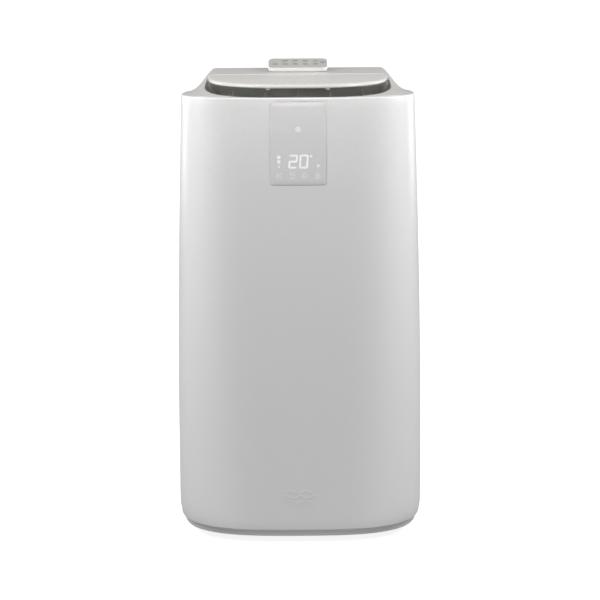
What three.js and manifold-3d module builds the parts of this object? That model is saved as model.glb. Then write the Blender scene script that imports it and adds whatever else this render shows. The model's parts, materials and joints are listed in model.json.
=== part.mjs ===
// A portable air conditioner on casters, as separate pieces. Millimetres, +Z up, front towards -Y.
// The origin is on the floor, in the middle of the footprint.

import * as THREE from 'three';
import { mergeVertices } from 'three/addons/utils/BufferGeometryUtils.js';
import Module from 'manifold-3d';

const wasm = await Module();
wasm.setup();

// ---------------------------------------------------------------- driving dimensions: casing
const bodyWidth = 402; // across the widest part, low on the body
const bodyDepth = 400; // front to back at the foot
const rimHeight = 718; // floor to the lip of the front cover
const topNarrowing = 23; // the lip is this much narrower than the foot
const topShallowing = 8; // and this much less deep
const taperStart = 200; // the sides are upright below this height
const taperPower = 1.5;
const squarenessLow = 3.1; // superellipse power of the plan outline at the foot
const squarenessHigh = 4.6; // and at the lip
const coverBottom = 22;
const footTuck = 3; // the sides draw in by this much at the foot
const tuckHeight = 24; // starting this far above it
const plinthBottom = 11;
const coverWall = 3;
const rimFall = 14; // the lip falls by this much from the seam to the back
const seamFromMiddle = 80; // the cover seam runs down the sides this far ahead of the middle
const gap = 0.3; // between pieces that touch
const slack = 0.6; // round a piece that lifts or slides out
const swing = 2; // round a piece that turns

// ---------------------------------------------------------------- driving dimensions: top
const deckRise = 27; // the top slopes up from the front lip to the back
const deckBackEdge = 55; // from the back of the foot to where the deck rolls down
const deckRoll = 50;
const shoulderWidth = 49;
const outletShoulder = 38; // from the lip to the outlet's side
const outletSquareness = 3.8;
const outletFrontWall = 2.5;
const throatInset = 19.5;
const throatDrop = 28; // the throat lies this far below the lip
const skirtDrop = 30; // the collar's skirt inside the covers

// ---------------------------------------------------------------- driving dimensions: flap and louvres
const hingeFromBack = 138;
const hingeDrop = 10; // the hinge pin lies this far under the deck
const hingePinRadius = 2;
const flapThickness = 6;
const flapSideGap = 4;
const flapSquareness = 2.6;
const flapRestAngle = 4.5; // degrees open as it stands
const flapPadRadius = 3.5;
const flapPadSpacing = 94;
const louvreCount = 5;
const louvreLength = 60;
const louvreThickness = 1.6;
const louvreTopDrop = 0; // under the lip
const crankThrow = 22;

// ---------------------------------------------------------------- driving dimensions: remote control
const remoteWidth = 100;
const remoteDepth = 47;
const remoteThickness = 6.7;
const remoteCorner = 9;
const remoteTilt = 17;
const remoteFromBack = 110; // its front edge, from the back of the foot
const keyWidth = 8.4;
const keyDepth = 6.6;
const keyColumnPitch = 16.85;
const keyRowFront = 18.7;
const keyRowBack = 34;
const powerKeyRadius = 4.6;

// ---------------------------------------------------------------- driving dimensions: front panel
const panelWidth = 88.6;
const panelHeight = 131;
const panelBelowRim = 6.5;
const panelCorner = 5.5;
const panelDepth = 1.2;

// ---------------------------------------------------------------- driving dimensions: inside and back
const trayBelowRim = 240; // the wet tray between the two bays
const trayDepth = 12;
const grilleWidth = 260;
const grillePitch = 20;
const grilleSlot = 12;
const exhaustBelowTray = 88;
const exhaustBore = 62;
const exhaustFlange = 74;
const filterThickness = 8;
const evaporatorFanRadius = 60;
const condenserFanRadius = 72;
const compressorRadius = 55;
const compressorHeight = 190;
const handleWidth = 100;
const handleHeight = 34;
const handleDepth = 32;
const handleWall = 2.5;
const baseTop = 58;

// ---------------------------------------------------------------- driving dimensions: casters
const wheelRadius = 18;
const wheelWidth = 16;
const casterTrail = 9;
const casterWellRadius = 34;
const casterInsetX = 68;
const casterInsetY = 78;

// ---------------------------------------------------------------- places worked out from them
const halfWidth = bodyWidth / 2;
const halfDepth = bodyDepth / 2;
const rimHalfWidth = halfWidth - topNarrowing / 2;
const rimHalfDepth = halfDepth - topShallowing / 2;
const seamY = -seamFromMiddle;
const outletHalfWidth = rimHalfWidth - outletShoulder;
const outletFront = -rimHalfDepth + coverWall + gap + outletFrontWall;
const hingeY = halfDepth - hingeFromBack;
const outletBack = hingeY + hingeDrop - swing;
const throatHeight = rimHeight - throatDrop;
const throatHalfWidth = outletHalfWidth - throatInset;
const trayHeight = rimHeight - trayBelowRim;
const exhaustHeight = trayHeight - exhaustBelowTray;

const material = (name, color, roughness, metalness = 0) =>
  new THREE.MeshStandardMaterial({ name, color, roughness, metalness });
const finishes = {
  white: material('white_plastic', 0xf4f4f1, 0.42),
  silver: material('grey_plastic', 0xd9d9d5, 0.45),
  greige: material('greige_plastic', 0xc9c6c0, 0.5),
  dark: material('dark_plastic', 0x4a4b4c, 0.6),
  panel: material('panel_film', 0xd2d1cc, 0.25),
  key: material('key_rubber', 0xa9a8a3, 0.7),
  remoteFace: material('remote_face', 0xcbcac3, 0.5),
  metal: material('steel', 0xb9bcc0, 0.35, 0.9),
  fin: material('aluminium_fins', 0xc7ccd1, 0.4, 0.8),
  copper: material('copper', 0xb9704a, 0.35, 0.9),
  black: material('black_rubber', 0x1e1f21, 0.8),
  foam: material('filter_mesh', 0x3c4044, 0.9),
  board: material('circuit_board', 0x2f6b45, 0.6),
};

// ---------------------------------------------------------------- solids
function toSolid(geometry) {
  const bare = geometry.clone();
  bare.deleteAttribute('normal');
  bare.deleteAttribute('uv');
  const merged = mergeVertices(bare, 1e-4);
  const vertProperties = new Float32Array(merged.attributes.position.array);
  const triVerts = new Uint32Array(merged.index.array);
  return new wasm.Manifold(new wasm.Mesh({ numProp: 3, vertProperties, triVerts }));
}

function toGeometry(solid) {
  const mesh = solid.getMesh();
  const geometry = new THREE.BufferGeometry();
  geometry.setAttribute('position', new THREE.BufferAttribute(new Float32Array(mesh.vertProperties), 3));
  geometry.setIndex(new THREE.BufferAttribute(new Uint32Array(mesh.triVerts), 1));
  geometry.computeVertexNormals();
  return geometry;
}

const join = (...solids) => solids.reduce((whole, solid) => whole.add(solid));
const cut = (solid, ...tools) => tools.reduce((rest, tool) => rest.subtract(tool), solid);

function block(x0, x1, y0, y1, z0, z1) {
  const box = new THREE.BoxGeometry(x1 - x0, y1 - y0, z1 - z0);
  return toSolid(box.translate((x0 + x1) / 2, (y0 + y1) / 2, (z0 + z1) / 2));
}

// A round bar along one axis, from one coordinate to another, centred on the other two.
function rod(axis, radius, from, to, u, v, segments = 24) {
  const bar = new THREE.CylinderGeometry(radius, radius, to - from, segments);
  const middle = (from + to) / 2;
  if (axis === 'x') return toSolid(bar.rotateZ(-Math.PI / 2).translate(middle, u, v));
  if (axis === 'y') return toSolid(bar.translate(u, middle, v));
  return toSolid(bar.rotateX(Math.PI / 2).translate(u, v, middle));
}

// A closed solid through rings of points that all have the same count.
function loft(rings) {
  const count = rings[0].length;
  const positions = rings.flat().flatMap((point) => [point.x, point.y, point.z]);
  const middles = [rings[0], rings.at(-1)].map((ring) => {
    const sum = ring.reduce((total, point) => total.add(point), new THREE.Vector3());
    return sum.multiplyScalar(1 / count);
  });
  const lowMiddle = rings.length * count;
  middles.forEach((point) => positions.push(point.x, point.y, point.z));
  const faces = [];
  for (let side = 0; side < count; side += 1) {
    const next = (side + 1) % count;
    for (let level = 0; level + 1 < rings.length; level += 1) {
      const low = level * count;
      const high = low + count;
      faces.push(low + side, low + next, high + next);
      faces.push(low + side, high + next, high + side);
    }
    const last = (rings.length - 1) * count;
    faces.push(lowMiddle, next, side);
    faces.push(lowMiddle + 1, last + side, last + next);
  }
  const geometry = new THREE.BufferGeometry();
  geometry.setAttribute('position', new THREE.Float32BufferAttribute(positions, 3));
  geometry.setIndex(faces);
  return toSolid(geometry);
}

function roundedRect(width, height, corner, middleX = 0, middleY = 0) {
  const right = width / 2;
  const top = height / 2;
  const shape = new THREE.Shape();
  shape.absarc(middleX + right - corner, middleY + top - corner, corner, 0, Math.PI / 2);
  shape.absarc(middleX - right + corner, middleY + top - corner, corner, Math.PI / 2, Math.PI);
  shape.absarc(middleX - right + corner, middleY - top + corner, corner, Math.PI, 1.5 * Math.PI);
  shape.absarc(middleX + right - corner, middleY - top + corner, corner, 1.5 * Math.PI, 2 * Math.PI);
  return shape;
}

// An outline in the XY plane, raised from one height to another.
function raise(shape, z0, z1, curveSegments = 4) {
  const settings = { depth: z1 - z0, bevelEnabled: false, curveSegments };
  return toSolid(new THREE.ExtrudeGeometry(shape, settings).translate(0, 0, z0));
}

// An outline in the XZ plane, run from one y to another.
function runBack(shape, y0, y1, curveSegments = 4) {
  const settings = { depth: y1 - y0, bevelEnabled: false, curveSegments };
  return toSolid(new THREE.ExtrudeGeometry(shape, settings).rotateX(Math.PI / 2).translate(0, y1, 0));
}

// ---------------------------------------------------------------- the body's plan outline
const planSegments = 40;

function planAt(height) {
  const share = Math.max(0, (height - taperStart) / (rimHeight - taperStart));
  const taper = share ** taperPower / 2;
  const climb = (height - coverBottom) / (rimHeight - coverBottom);
  const belowTuck = Math.max(0, 1 - (height - coverBottom) / tuckHeight);
  return {
    a: halfWidth - topNarrowing * taper - footTuck * belowTuck ** 2,
    b: halfDepth - topShallowing * taper,
    n: squarenessLow + (squarenessHigh - squarenessLow) * climb,
  };
}

function superellipse(a, b, n, angle) {
  const across = Math.cos(angle);
  const along = Math.sin(angle);
  return new THREE.Vector2(
    a * Math.sign(across) * Math.abs(across) ** (2 / n),
    b * Math.sign(along) * Math.abs(along) ** (2 / n),
  );
}

function planRing(inset, height, atHeight = height, scale = 1) {
  const { a, b, n } = planAt(height);
  return Array.from({ length: planSegments }, (_, step) => {
    const spot = superellipse(a - inset, b - inset, n, ((step + 0.5) / planSegments) * 2 * Math.PI);
    return new THREE.Vector3(spot.x * scale, spot.y * scale, atHeight);
  });
}

// The lip is level round the front, and falls towards the back behind the seam.
const rimAt = (y) => rimHeight - (rimFall * Math.max(0, y - seamY)) / (halfDepth - seamY);

function bodySolid(inset, low, high) {
  const levels = 5;
  const straightFrom = coverBottom + tuckHeight;
  const step = (high - straightFrom) / levels;
  const heights = Array.from({ length: levels + 1 }, (_, level) => straightFrom + step * level);
  heights.unshift(low, coverBottom + tuckHeight / 3);
  const lowered = ({ x, y, z }) =>
    new THREE.Vector3(x, y, low + ((z - low) * (rimAt(y) - low)) / (rimHeight - low));
  return loft(heights.map((height) => planRing(inset, height).map(lowered)));
}

const halfWidthAt = (height, y) => {
  const { a, b, n } = planAt(height);
  return a * (1 - Math.abs(y / b) ** n) ** (1 / n);
};
const backAt = (height, x) => {
  const { a, b, n } = planAt(height);
  return b * (1 - Math.abs(x / a) ** n) ** (1 / n);
};

// ---------------------------------------------------------------- the deck's surface
const deckAt = (y) => rimHeight + (deckRise * (y + halfDepth)) / (bodyDepth - deckBackEdge);
const smooth = (t) => t * t * (3 - 2 * t);

function topAt(x, y) {
  const fromSide = Math.min(1, Math.max(0, (rimHalfWidth - Math.abs(x)) / shoulderWidth));
  const pastEdge = Math.max(0, y - (halfDepth - deckBackEdge)) / deckRoll;
  const roll = Math.sqrt(Math.max(0, 1 - pastEdge * pastEdge));
  const rise = deckAt(Math.min(y, halfDepth - deckBackEdge)) - rimAt(y);
  return rimAt(y) + rise * smooth(fromSide ** 1.3) * roll;
}

function deckSolid(inset, lowered, bottom) {
  const scales = [1, 0.93, 0.86, 0.78, 0.55];
  const rings = scales.map((scale) => {
    const ring = planRing(inset, rimHeight, 0, scale);
    return ring.map((point) => new THREE.Vector3(point.x, point.y, topAt(point.x, point.y) - lowered));
  });
  return loft([planRing(inset, rimHeight, bottom), ...rings]);
}

// A D outline: half a superellipse to the front, straight sides to the back.
function dRing(halfAcross, front, middle, back, n, heightAt) {
  const steps = 22;
  const curve = Array.from({ length: steps + 1 }, (_, step) => {
    const spot = superellipse(halfAcross, middle - front, n, Math.PI + (step / steps) * Math.PI);
    return [spot.x, spot.y + middle];
  });
  const corners = [[halfAcross, back], [-halfAcross, back]];
  return [...curve, ...corners].map(([x, y]) => new THREE.Vector3(x, y, heightAt(x, y)));
}

function outletSolid(grow, low, high) {
  const ring = (halfAcross, front, back, height) =>
    dRing(halfAcross + grow, front - grow, hingeY - 60, back + grow, outletSquareness, () => height);
  const frontSlope = 12;
  const backSlope = 24;
  const shoulder = rimHeight + 2;
  const below = (throatHeight - low) / (shoulder - throatHeight);
  return loft([
    ring(
      throatHalfWidth - throatInset * below,
      outletFront + frontSlope * (1 + below),
      outletBack - backSlope * (1 + below),
      low,
    ),
    ring(outletHalfWidth, outletFront, outletBack, shoulder),
    ring(outletHalfWidth, outletFront, outletBack, high),
  ]);
}

// ---------------------------------------------------------------- the object
const airConditioner = new THREE.Group();

function piece(name, solid, finish, group = airConditioner) {
  const mesh = new THREE.Mesh(toGeometry(solid), finish.clone());
  mesh.name = name;
  group.add(mesh);
}

const wide = bodyWidth;
const deep = bodyDepth;
const farAbove = rimHeight * 2;

// ---- covers
const outerBody = bodySolid(0, coverBottom, rimHeight);
const shell = cut(outerBody, bodySolid(coverWall, coverBottom - 1, rimHeight + 1));
const frontHalf = block(-wide, wide, -deep, seamY, 0, farAbove);
const backHalf = block(-wide, wide, seamY + gap, deep, 0, farAbove);

const panelTop = rimHeight - panelBelowRim;
const panelMiddle = panelTop - panelHeight / 2;
const panelPrism = (grow) =>
  runBack(
    roundedRect(panelWidth + 2 * grow, panelHeight + 2 * grow, panelCorner + grow, 0, panelMiddle),
    -deep,
    0,
  );
const panelSkin = cut(outerBody, bodySolid(panelDepth, coverBottom - 1, rimHeight + 1));
const pocket = cut(panelPrism(gap), bodySolid(panelDepth + gap, coverBottom - 1, rimHeight + 1));
piece('front_cover', cut(shell.intersect(frontHalf), pocket), finishes.white);
piece('control_panel', panelSkin.intersect(panelPrism(0)), finishes.panel);

const boardBack = -rimHalfDepth + coverWall + 8;
piece(
  'display_board',
  block(-36, 36, boardBack - 4, boardBack, panelMiddle - 50, panelMiddle + 50),
  finishes.board,
);

const intakeLow = trayHeight + 28;
const intakeHigh = rimHeight - 44;
const condenserLow = baseTop + 26;
const condenserHigh = exhaustHeight - exhaustFlange - 14;
const window = (grow, low, high) =>
  block(-grilleWidth / 2 - grow, grilleWidth / 2 + grow, 0, deep, low - grow, high + grow);

const filterY = backAt(intakeLow, grilleWidth / 2) - 32;
const filterLow = intakeLow - 6;
const filterHigh = intakeHigh + 6;
const filterSlot = block(
  0,
  wide,
  filterY - slack,
  filterY + filterThickness + slack,
  filterLow - slack,
  filterHigh + slack,
);
const handleY = 60;
const handleZ = rimHeight - 112;
const handleMouth = (side, grow) => {
  const shape = roundedRect(handleWidth + 2 * grow, handleHeight + 2 * grow, 14 + grow, 0, 0);
  const settings = { depth: wide, bevelEnabled: false, curveSegments: 4 };
  const prism = new THREE.ExtrudeGeometry(shape, settings).rotateX(Math.PI / 2).rotateZ(-Math.PI / 2);
  return toSolid(prism.translate(side > 0 ? wide : 0, handleY, handleZ));
};
const drainX = -62;
const drainZ = baseTop - 17;
const drainRadius = 11;
const glandX = 118;
const glandRadius = 10;
const glandZ = baseTop + glandRadius + 3;

piece(
  'rear_cover',
  cut(
    shell.intersect(backHalf),
    window(0, intakeLow, intakeHigh),
    window(0, condenserLow, condenserHigh),
    rod('y', exhaustFlange + slack, 0, deep, 0, exhaustHeight, 24),
    filterSlot,
    handleMouth(1, gap),
    handleMouth(-1, gap),
    rod('y', drainRadius + slack, 0, deep, drainX, drainZ),
    rod('y', glandRadius + gap, 0, deep, glandX, glandZ),
  ),
  finishes.silver,
);

// ---- grilles, cut from the same skin as the covers
function grille(name, low, high) {
  const slots = [];
  const count = Math.floor((high - low - 2 * grilleSlot) / grillePitch);
  const first = (low + high) / 2 - ((count - 1) * grillePitch) / 2;
  const edge = 8;
  for (let row = 0; row < count; row += 1) {
    const middle = first + row * grillePitch;
    const [under, over] = [middle - grilleSlot / 2, middle + grilleSlot / 2];
    slots.push(block(-grilleWidth / 2 + edge, -edge / 2, 0, deep, under, over));
    slots.push(block(edge / 2, grilleWidth / 2 - edge, 0, deep, under, over));
  }
  piece(name, cut(shell.intersect(window(-gap, low, high)), ...slots), finishes.silver);
}
grille('intake_grille', intakeLow, intakeHigh);
grille('condenser_grille', condenserLow, condenserHigh);

// ---- recessed hand grips
function grip(name, side) {
  const face = halfWidthAt(handleZ, handleY);
  const cup = (grow) => {
    const deepEnd = side * (face - handleDepth - grow);
    const far = side * wide;
    return block(Math.min(deepEnd, far), Math.max(deepEnd, far), -deep, deep, 0, farAbove);
  };
  const outer = handleMouth(side, 0).intersect(cup(handleWall)).intersect(outerBody);
  const inner = handleMouth(side, -handleWall).intersect(cup(0));
  piece(name, cut(outer, inner), finishes.dark);
}
grip('handle_right', 1);
grip('handle_left', -1);

// ---- base tray with four caster wells
const trayInset = coverWall + 2;
const casterX = halfWidth - casterInsetX;
const casterY = halfDepth - casterInsetY;
const casterCorners = [[-1, -1], [1, -1], [-1, 1], [1, 1]].map(([i, j]) => [i * casterX, j * casterY]);
const footPlan = (inset, low, high) =>
  loft([planRing(inset, coverBottom, low), planRing(inset, coverBottom, high)]);
const baseFloor = coverBottom;
const wellTop = 2 * wheelRadius + 12;
const wellRoof = wellTop + 4;
const stemRadius = 4;
let baseTray = cut(
  footPlan(trayInset, plinthBottom, baseTop),
  footPlan(trayInset + 4, baseFloor, baseTop + 1),
);
casterCorners.forEach(([x, y]) => {
  const stand = rod('z', casterWellRadius + 3, baseFloor - 1, wellRoof, x, y, 20);
  const well = rod('z', casterWellRadius, 0, wellTop, x, y, 20);
  baseTray = cut(join(baseTray, stand), well, rod('z', stemRadius + gap, 0, deep, x, y, 10));
});
baseTray = cut(baseTray, rod('y', drainRadius + slack, 0, deep, drainX, drainZ));
piece('base_tray', baseTray, finishes.dark);

// ---- casters
casterCorners.forEach(([x, y], corner) => {
  const group = new THREE.Group();
  group.position.set(x, y, 0);
  airConditioner.add(group);
  const number = corner + 1;
  const axleRadius = 2.5;
  const inside = wheelWidth / 2 + 1;
  const legWall = 2.5;
  const crown = 2 * wheelRadius + 3;
  const leg = (side) => {
    const profile = new THREE.Shape();
    profile.moveTo(-12, crown + 1);
    profile.lineTo(12, crown + 1);
    profile.lineTo(casterTrail + 6, wheelRadius);
    profile.absarc(casterTrail, wheelRadius, 6, 0, -Math.PI, true);
    profile.closePath();
    const settings = { depth: legWall, bevelEnabled: false, curveSegments: 3 };
    const plate = new THREE.ExtrudeGeometry(profile, settings).rotateX(Math.PI / 2).rotateZ(Math.PI / 2);
    return toSolid(plate.translate(side > 0 ? inside : -inside - legWall, 0, 0));
  };
  const fork = join(
    rod('z', 14, crown, crown + 5, 0, 0, 12),
    rod('z', stemRadius, crown + 4, wellRoof + 4, 0, 0, 10),
    leg(1),
    leg(-1),
    rod('x', axleRadius, -inside - 1, inside + 1, casterTrail, wheelRadius, 8),
  );
  piece(`caster_fork_${number}`, fork, finishes.dark, group);
  const bore = axleRadius + gap;
  const half = wheelWidth / 2;
  const side = [[bore, half], [wheelRadius - 4, half], [wheelRadius, half - 3]];
  const otherSide = side.map(([r, h]) => [r, -h]);
  const profile = [...otherSide, ...side.reverse(), otherSide[0]];
  const tread = new THREE.LatheGeometry(profile.map(([r, h]) => new THREE.Vector2(r, h)), 18);
  const wheel = toSolid(tread.rotateZ(-Math.PI / 2).translate(0, casterTrail, wheelRadius));
  piece(`caster_wheel_${number}`, wheel, finishes.black, group);
});

// ---- top collar: deck, shoulders, outlet funnel and the rest for the remote
const collarInset = coverWall + gap;
const remoteSeat = new THREE.Group();
remoteSeat.position.set(0, halfDepth - remoteFromBack, deckAt(halfDepth - remoteFromBack) + 2 * gap);
remoteSeat.rotation.x = THREE.MathUtils.degToRad(remoteTilt);
remoteSeat.updateMatrixWorld(true);
airConditioner.add(remoteSeat);

const restBlock = new THREE.BoxGeometry(remoteWidth - 12, remoteDepth - 8, 12);
restBlock.translate(0, remoteDepth / 2, -6 - gap).applyMatrix4(remoteSeat.matrixWorld);
const skirtBottom = rimHeight - skirtDrop;
const funnelWall = 2.5;
const deckSkin = cut(
  deckSolid(collarInset, 0, skirtBottom),
  deckSolid(collarInset + coverWall, coverWall, skirtBottom - 1),
);
const funnel = outletSolid(funnelWall, throatHeight, rimHeight + 60).intersect(
  deckSolid(collarInset, 0, throatHeight - 1),
);
const hingeZ = deckAt(hingeY) - hingeDrop;
const pinEnd = outletHalfWidth + funnelWall - 1;
piece(
  'top_collar',
  cut(
    join(deckSkin, funnel, toSolid(restBlock)),
    outletSolid(0, throatHeight - 1, rimHeight + 61),
    rod('x', hingePinRadius + gap, -pinEnd - gap, pinEnd + gap, hingeY, hingeZ, 12),
  ),
  finishes.greige,
);

// ---- outlet flap on its hinge pin, standing a little open
piece('hinge_pin', rod('x', hingePinRadius, -pinEnd, pinEnd, hingeY, hingeZ, 12), finishes.metal);

const flapGroup = new THREE.Group();
const flapParts = new THREE.Group();
flapGroup.position.set(0, hingeY, hingeZ);
flapGroup.rotation.x = -THREE.MathUtils.degToRad(flapRestAngle);
flapParts.position.set(0, -hingeY, -hingeZ);
flapGroup.add(flapParts);
airConditioner.add(flapGroup);

const flapFront = outletFront + swing;
const flapHalfWidth = outletHalfWidth - flapSideGap;
const edgeRadius = flapThickness / 2;
const flapRing = (shrink, drop) =>
  dRing(
    flapHalfWidth - shrink,
    flapFront + shrink,
    hingeY - 15,
    hingeY - (shrink > 0 ? 1 : 0),
    flapSquareness,
    (x, y) => deckAt(y) - drop,
  );
const lugX = flapHalfWidth - 30;
const lug = (side) => {
  const bar = rod('x', hingePinRadius + 2.6, side * lugX - 3, side * lugX + 3, hingeY, hingeZ, 16);
  const webTop = hingeZ + hingeDrop - 2;
  const web = block(side * lugX - 3, side * lugX + 3, hingeY - 4.6, hingeY, hingeZ, webTop);
  return join(bar, web);
};
piece(
  'outlet_flap',
  cut(
    join(
      loft([
        flapRing(edgeRadius * 0.7, flapThickness),
        flapRing(0, flapThickness - edgeRadius * 0.7),
        flapRing(0, edgeRadius * 0.7),
        flapRing(edgeRadius * 0.7, 0),
      ]),
      lug(1),
      lug(-1),
    ),
    rod('x', hingePinRadius + gap, -halfWidth, halfWidth, hingeY, hingeZ, 12),
  ),
  finishes.greige,
  flapParts,
);
const padY = flapFront + flapPadRadius + 3;
const padTop = deckAt(padY - flapPadRadius) - flapThickness - gap;
[['flap_pad_left', -1], ['flap_pad_right', 1]].forEach(([name, side]) => {
  const x = (side * flapPadSpacing) / 2;
  piece(name, rod('z', flapPadRadius, padTop - 2, padTop, x, padY, 16), finishes.white, flapParts);
});
const motorFace = throatHalfWidth + throatInset + funnelWall;
piece(
  'flap_motor',
  join(
    block(motorFace, motorFace + 16, hingeY - 24, hingeY - 2, throatHeight - 8, throatHeight + 14),
    rod('x', 4, motorFace - 3, motorFace + 1, hingeY - 13, throatHeight + 3, 12),
  ),
  finishes.metal,
);

// ---- evaporator blower, its duct and the swinging louvres
const blowerFront = -60;
const blowerBack = 46;
const ductBottom = throatHeight - 34.7;
const ductWall = 2.5;
const ductFrontTop = outletFront + 12;
const ductSquareness = 8;
const duct = (grow, low, high) =>
  loft([
    dRing(
      throatHalfWidth - ductWall + grow,
      blowerFront + ductWall - grow,
      (blowerFront + blowerBack) / 2,
      blowerBack - ductWall + grow,
      ductSquareness,
      () => low,
    ),
    dRing(
      throatHalfWidth + grow,
      ductFrontTop - grow,
      hingeY - 60,
      outletBack - 24 + grow,
      outletSquareness,
      () => high,
    ),
  ]);
const louvreY = (blowerFront + blowerBack) / 2 - 23;
const railTop = ductBottom + 9;
const railBottom = railTop - 5;
const louvreTop = rimHeight - louvreTopDrop;
const louvreBottom = railTop + 6;
const crankY = louvreY - crankThrow;
const louvreSpan = throatHalfWidth - 26;
const louvreXs = Array.from({ length: louvreCount }, (_, step) =>
  -louvreSpan + (2 * louvreSpan * step) / (louvreCount - 1),
);
const pivotRadius = 2;
const pivotHole = 2.6;
const rail = cut(
  block(-throatHalfWidth, throatHalfWidth, louvreY - 5, louvreY + 5, railBottom, railTop),
  ...louvreXs.map((x) => rod('z', pivotHole, 0, farAbove, x, louvreY, 8)),
);
const ductShell = cut(
  duct(ductWall, ductBottom, throatHeight - gap),
  duct(0, ductBottom - 1, throatHeight + 1),
);
piece('outlet_duct', join(ductShell, rail), finishes.dark);
louvreXs.forEach((x, step) => {
  const half = louvreThickness / 2;
  const reach = louvreLength / 2;
  const vane = join(
    block(x - half, x + half, louvreY - reach, louvreY + reach, louvreBottom, louvreTop),
    rod('z', pivotRadius, railBottom + 1, louvreBottom + 2, x, louvreY, 8),
    rod('z', pivotRadius, railBottom, louvreBottom + 2, x, crankY, 8),
  );
  piece(`louvre_${step + 1}`, vane, finishes.dark);
});
piece(
  'louvre_link',
  cut(
    block(-louvreSpan - 6, louvreSpan + 6, crankY - 4.5, crankY + 4.5, railBottom + 1, railTop - 1),
    ...louvreXs.map((x) => rod('z', pivotHole, 0, farAbove, x, crankY, 8)),
  ),
  finishes.dark,
);

// A drum of forward blades between a back plate and a front ring, on a hub.
const shaftRadius = 5;
function drumFan(name, radius, front, back, height) {
  const blades = 9;
  const ringWall = 9;
  const hub = rod('y', shaftRadius + 8, front, front + 28, 0, height, 10);
  const plate = rod('y', radius, front, front + 3, 0, height);
  const ring = cut(
    rod('y', radius, back - 5, back, 0, height),
    rod('y', radius - ringWall, back - 6, back + 1, 0, height),
  );
  let wheel = join(hub, plate, ring);
  for (let index = 0; index < blades; index += 1) {
    const turn = (index / blades) * 2 * Math.PI;
    const blade = new THREE.BoxGeometry(2, back - front - 4, ringWall - 1);
    blade.rotateY(0.6).translate(0, (front + back) / 2, radius - ringWall / 2 - 0.6);
    wheel = wheel.add(toSolid(blade.rotateY(turn).translate(0, 0, height)));
  }
  piece(name, cut(wheel, rod('y', shaftRadius + gap, front - 1, back, 0, height, 10)), finishes.dark);
}

function fanMotor(name, radius, front, back, shaftEnd, height) {
  const can = rod('y', radius, front, back, 0, height);
  const shaft = rod('y', shaftRadius, back - 1, shaftEnd, 0, height, 10);
  const foot = block(-radius, radius, front + 8, front + 20, height - radius - 4, height - radius + 12);
  piece(name, join(can, shaft, foot), finishes.metal);
}

const scrollRoom = 18;
const scrollWall = 2.5;
const blowerTop = ductBottom - gap;
const blowerZ = blowerTop - evaporatorFanRadius - scrollRoom - 2;
const scrollCase = (grow, front, back, lift) => {
  const radius = evaporatorFanRadius + scrollRoom + grow;
  const hood = new THREE.Shape();
  hood.moveTo(-radius, blowerZ);
  hood.lineTo(-throatHalfWidth - grow, blowerTop - 16);
  hood.lineTo(-throatHalfWidth - grow, blowerTop + lift);
  hood.lineTo(throatHalfWidth + grow, blowerTop + lift);
  hood.lineTo(throatHalfWidth + grow, blowerTop - 16);
  hood.lineTo(radius, blowerZ);
  hood.closePath();
  return join(runBack(hood, front, back), rod('y', radius, front, back, 0, blowerZ));
};
piece(
  'evaporator_scroll',
  cut(
    scrollCase(0, blowerFront, blowerBack, 0),
    scrollCase(-scrollWall, blowerFront + scrollWall, blowerBack - scrollWall, 1),
    rod('y', evaporatorFanRadius - 8, 0, blowerBack + 1, 0, blowerZ),
    rod('y', shaftRadius + slack, blowerFront - 1, 0, 0, blowerZ, 16),
  ),
  finishes.dark,
);
drumFan('evaporator_fan', evaporatorFanRadius, blowerFront + 12, blowerBack - 12, blowerZ);
fanMotor('evaporator_motor', 40, blowerFront - 60, blowerFront - gap, blowerFront + 38, blowerZ);

// ---- filter cassette, slid in from the side, and its mesh
const filterLeft = -grilleWidth / 2 - 12;
const filterFrame = cut(
  block(filterLeft, wide, filterY, filterY + filterThickness, filterLow, filterHigh),
  block(filterLeft + 10, grilleWidth / 2, 0, deep, filterLow + 10, filterHigh - 10),
).intersect(outerBody);
piece('filter_cassette', filterFrame, finishes.silver);
piece(
  'filter_mesh',
  block(
    filterLeft + 10 + gap,
    grilleWidth / 2 - gap,
    filterY + 3,
    filterY + 5,
    filterLow + 10 + gap,
    filterHigh - 10 - gap,
  ),
  finishes.foam,
);

// ---- coils: a finned block with its return bends at one end
function coil(name, halfAcross, back, thick, low, high) {
  const core = block(-halfAcross, halfAcross, back - thick, back, low, high);
  const bends = [];
  const pitch = 36;
  const middle = back - thick / 2;
  for (let z = low + 16; z + pitch * 0.6 < high; z += pitch) {
    bends.push(block(halfAcross - 1, halfAcross + 7, middle - 3, middle + 3, z, z + pitch / 2));
  }
  piece(name, join(core, ...bends), finishes.fin);
}
const coilHalf = halfWidth - 64;
const evaporatorBack = filterY - 12;
const evaporatorThick = 34;
coil('evaporator_coil', coilHalf, evaporatorBack, evaporatorThick, filterLow, filterHigh);
const condenserBack = halfDepth - 44;
coil('condenser_coil', coilHalf, condenserBack, 34, condenserLow - 10, condenserHigh + 4);

// ---- wet tray between the bays
const trayPlan = (inset, low, high) =>
  loft([planRing(inset, trayHeight + trayDepth, low), planRing(inset, trayHeight + trayDepth, high)]);
const pipeX = -(halfWidth - 50);
const pipeY = 30;
const pipeRadius = 4;
piece(
  'condensate_tray',
  cut(
    trayPlan(coverWall + slack, trayHeight, trayHeight + trayDepth),
    trayPlan(coverWall + slack + 3, trayHeight + 3, trayHeight + trayDepth + 1),
    rod('z', pipeRadius + 4, 0, farAbove, pipeX, pipeY, 16),
  ),
  finishes.dark,
);

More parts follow.
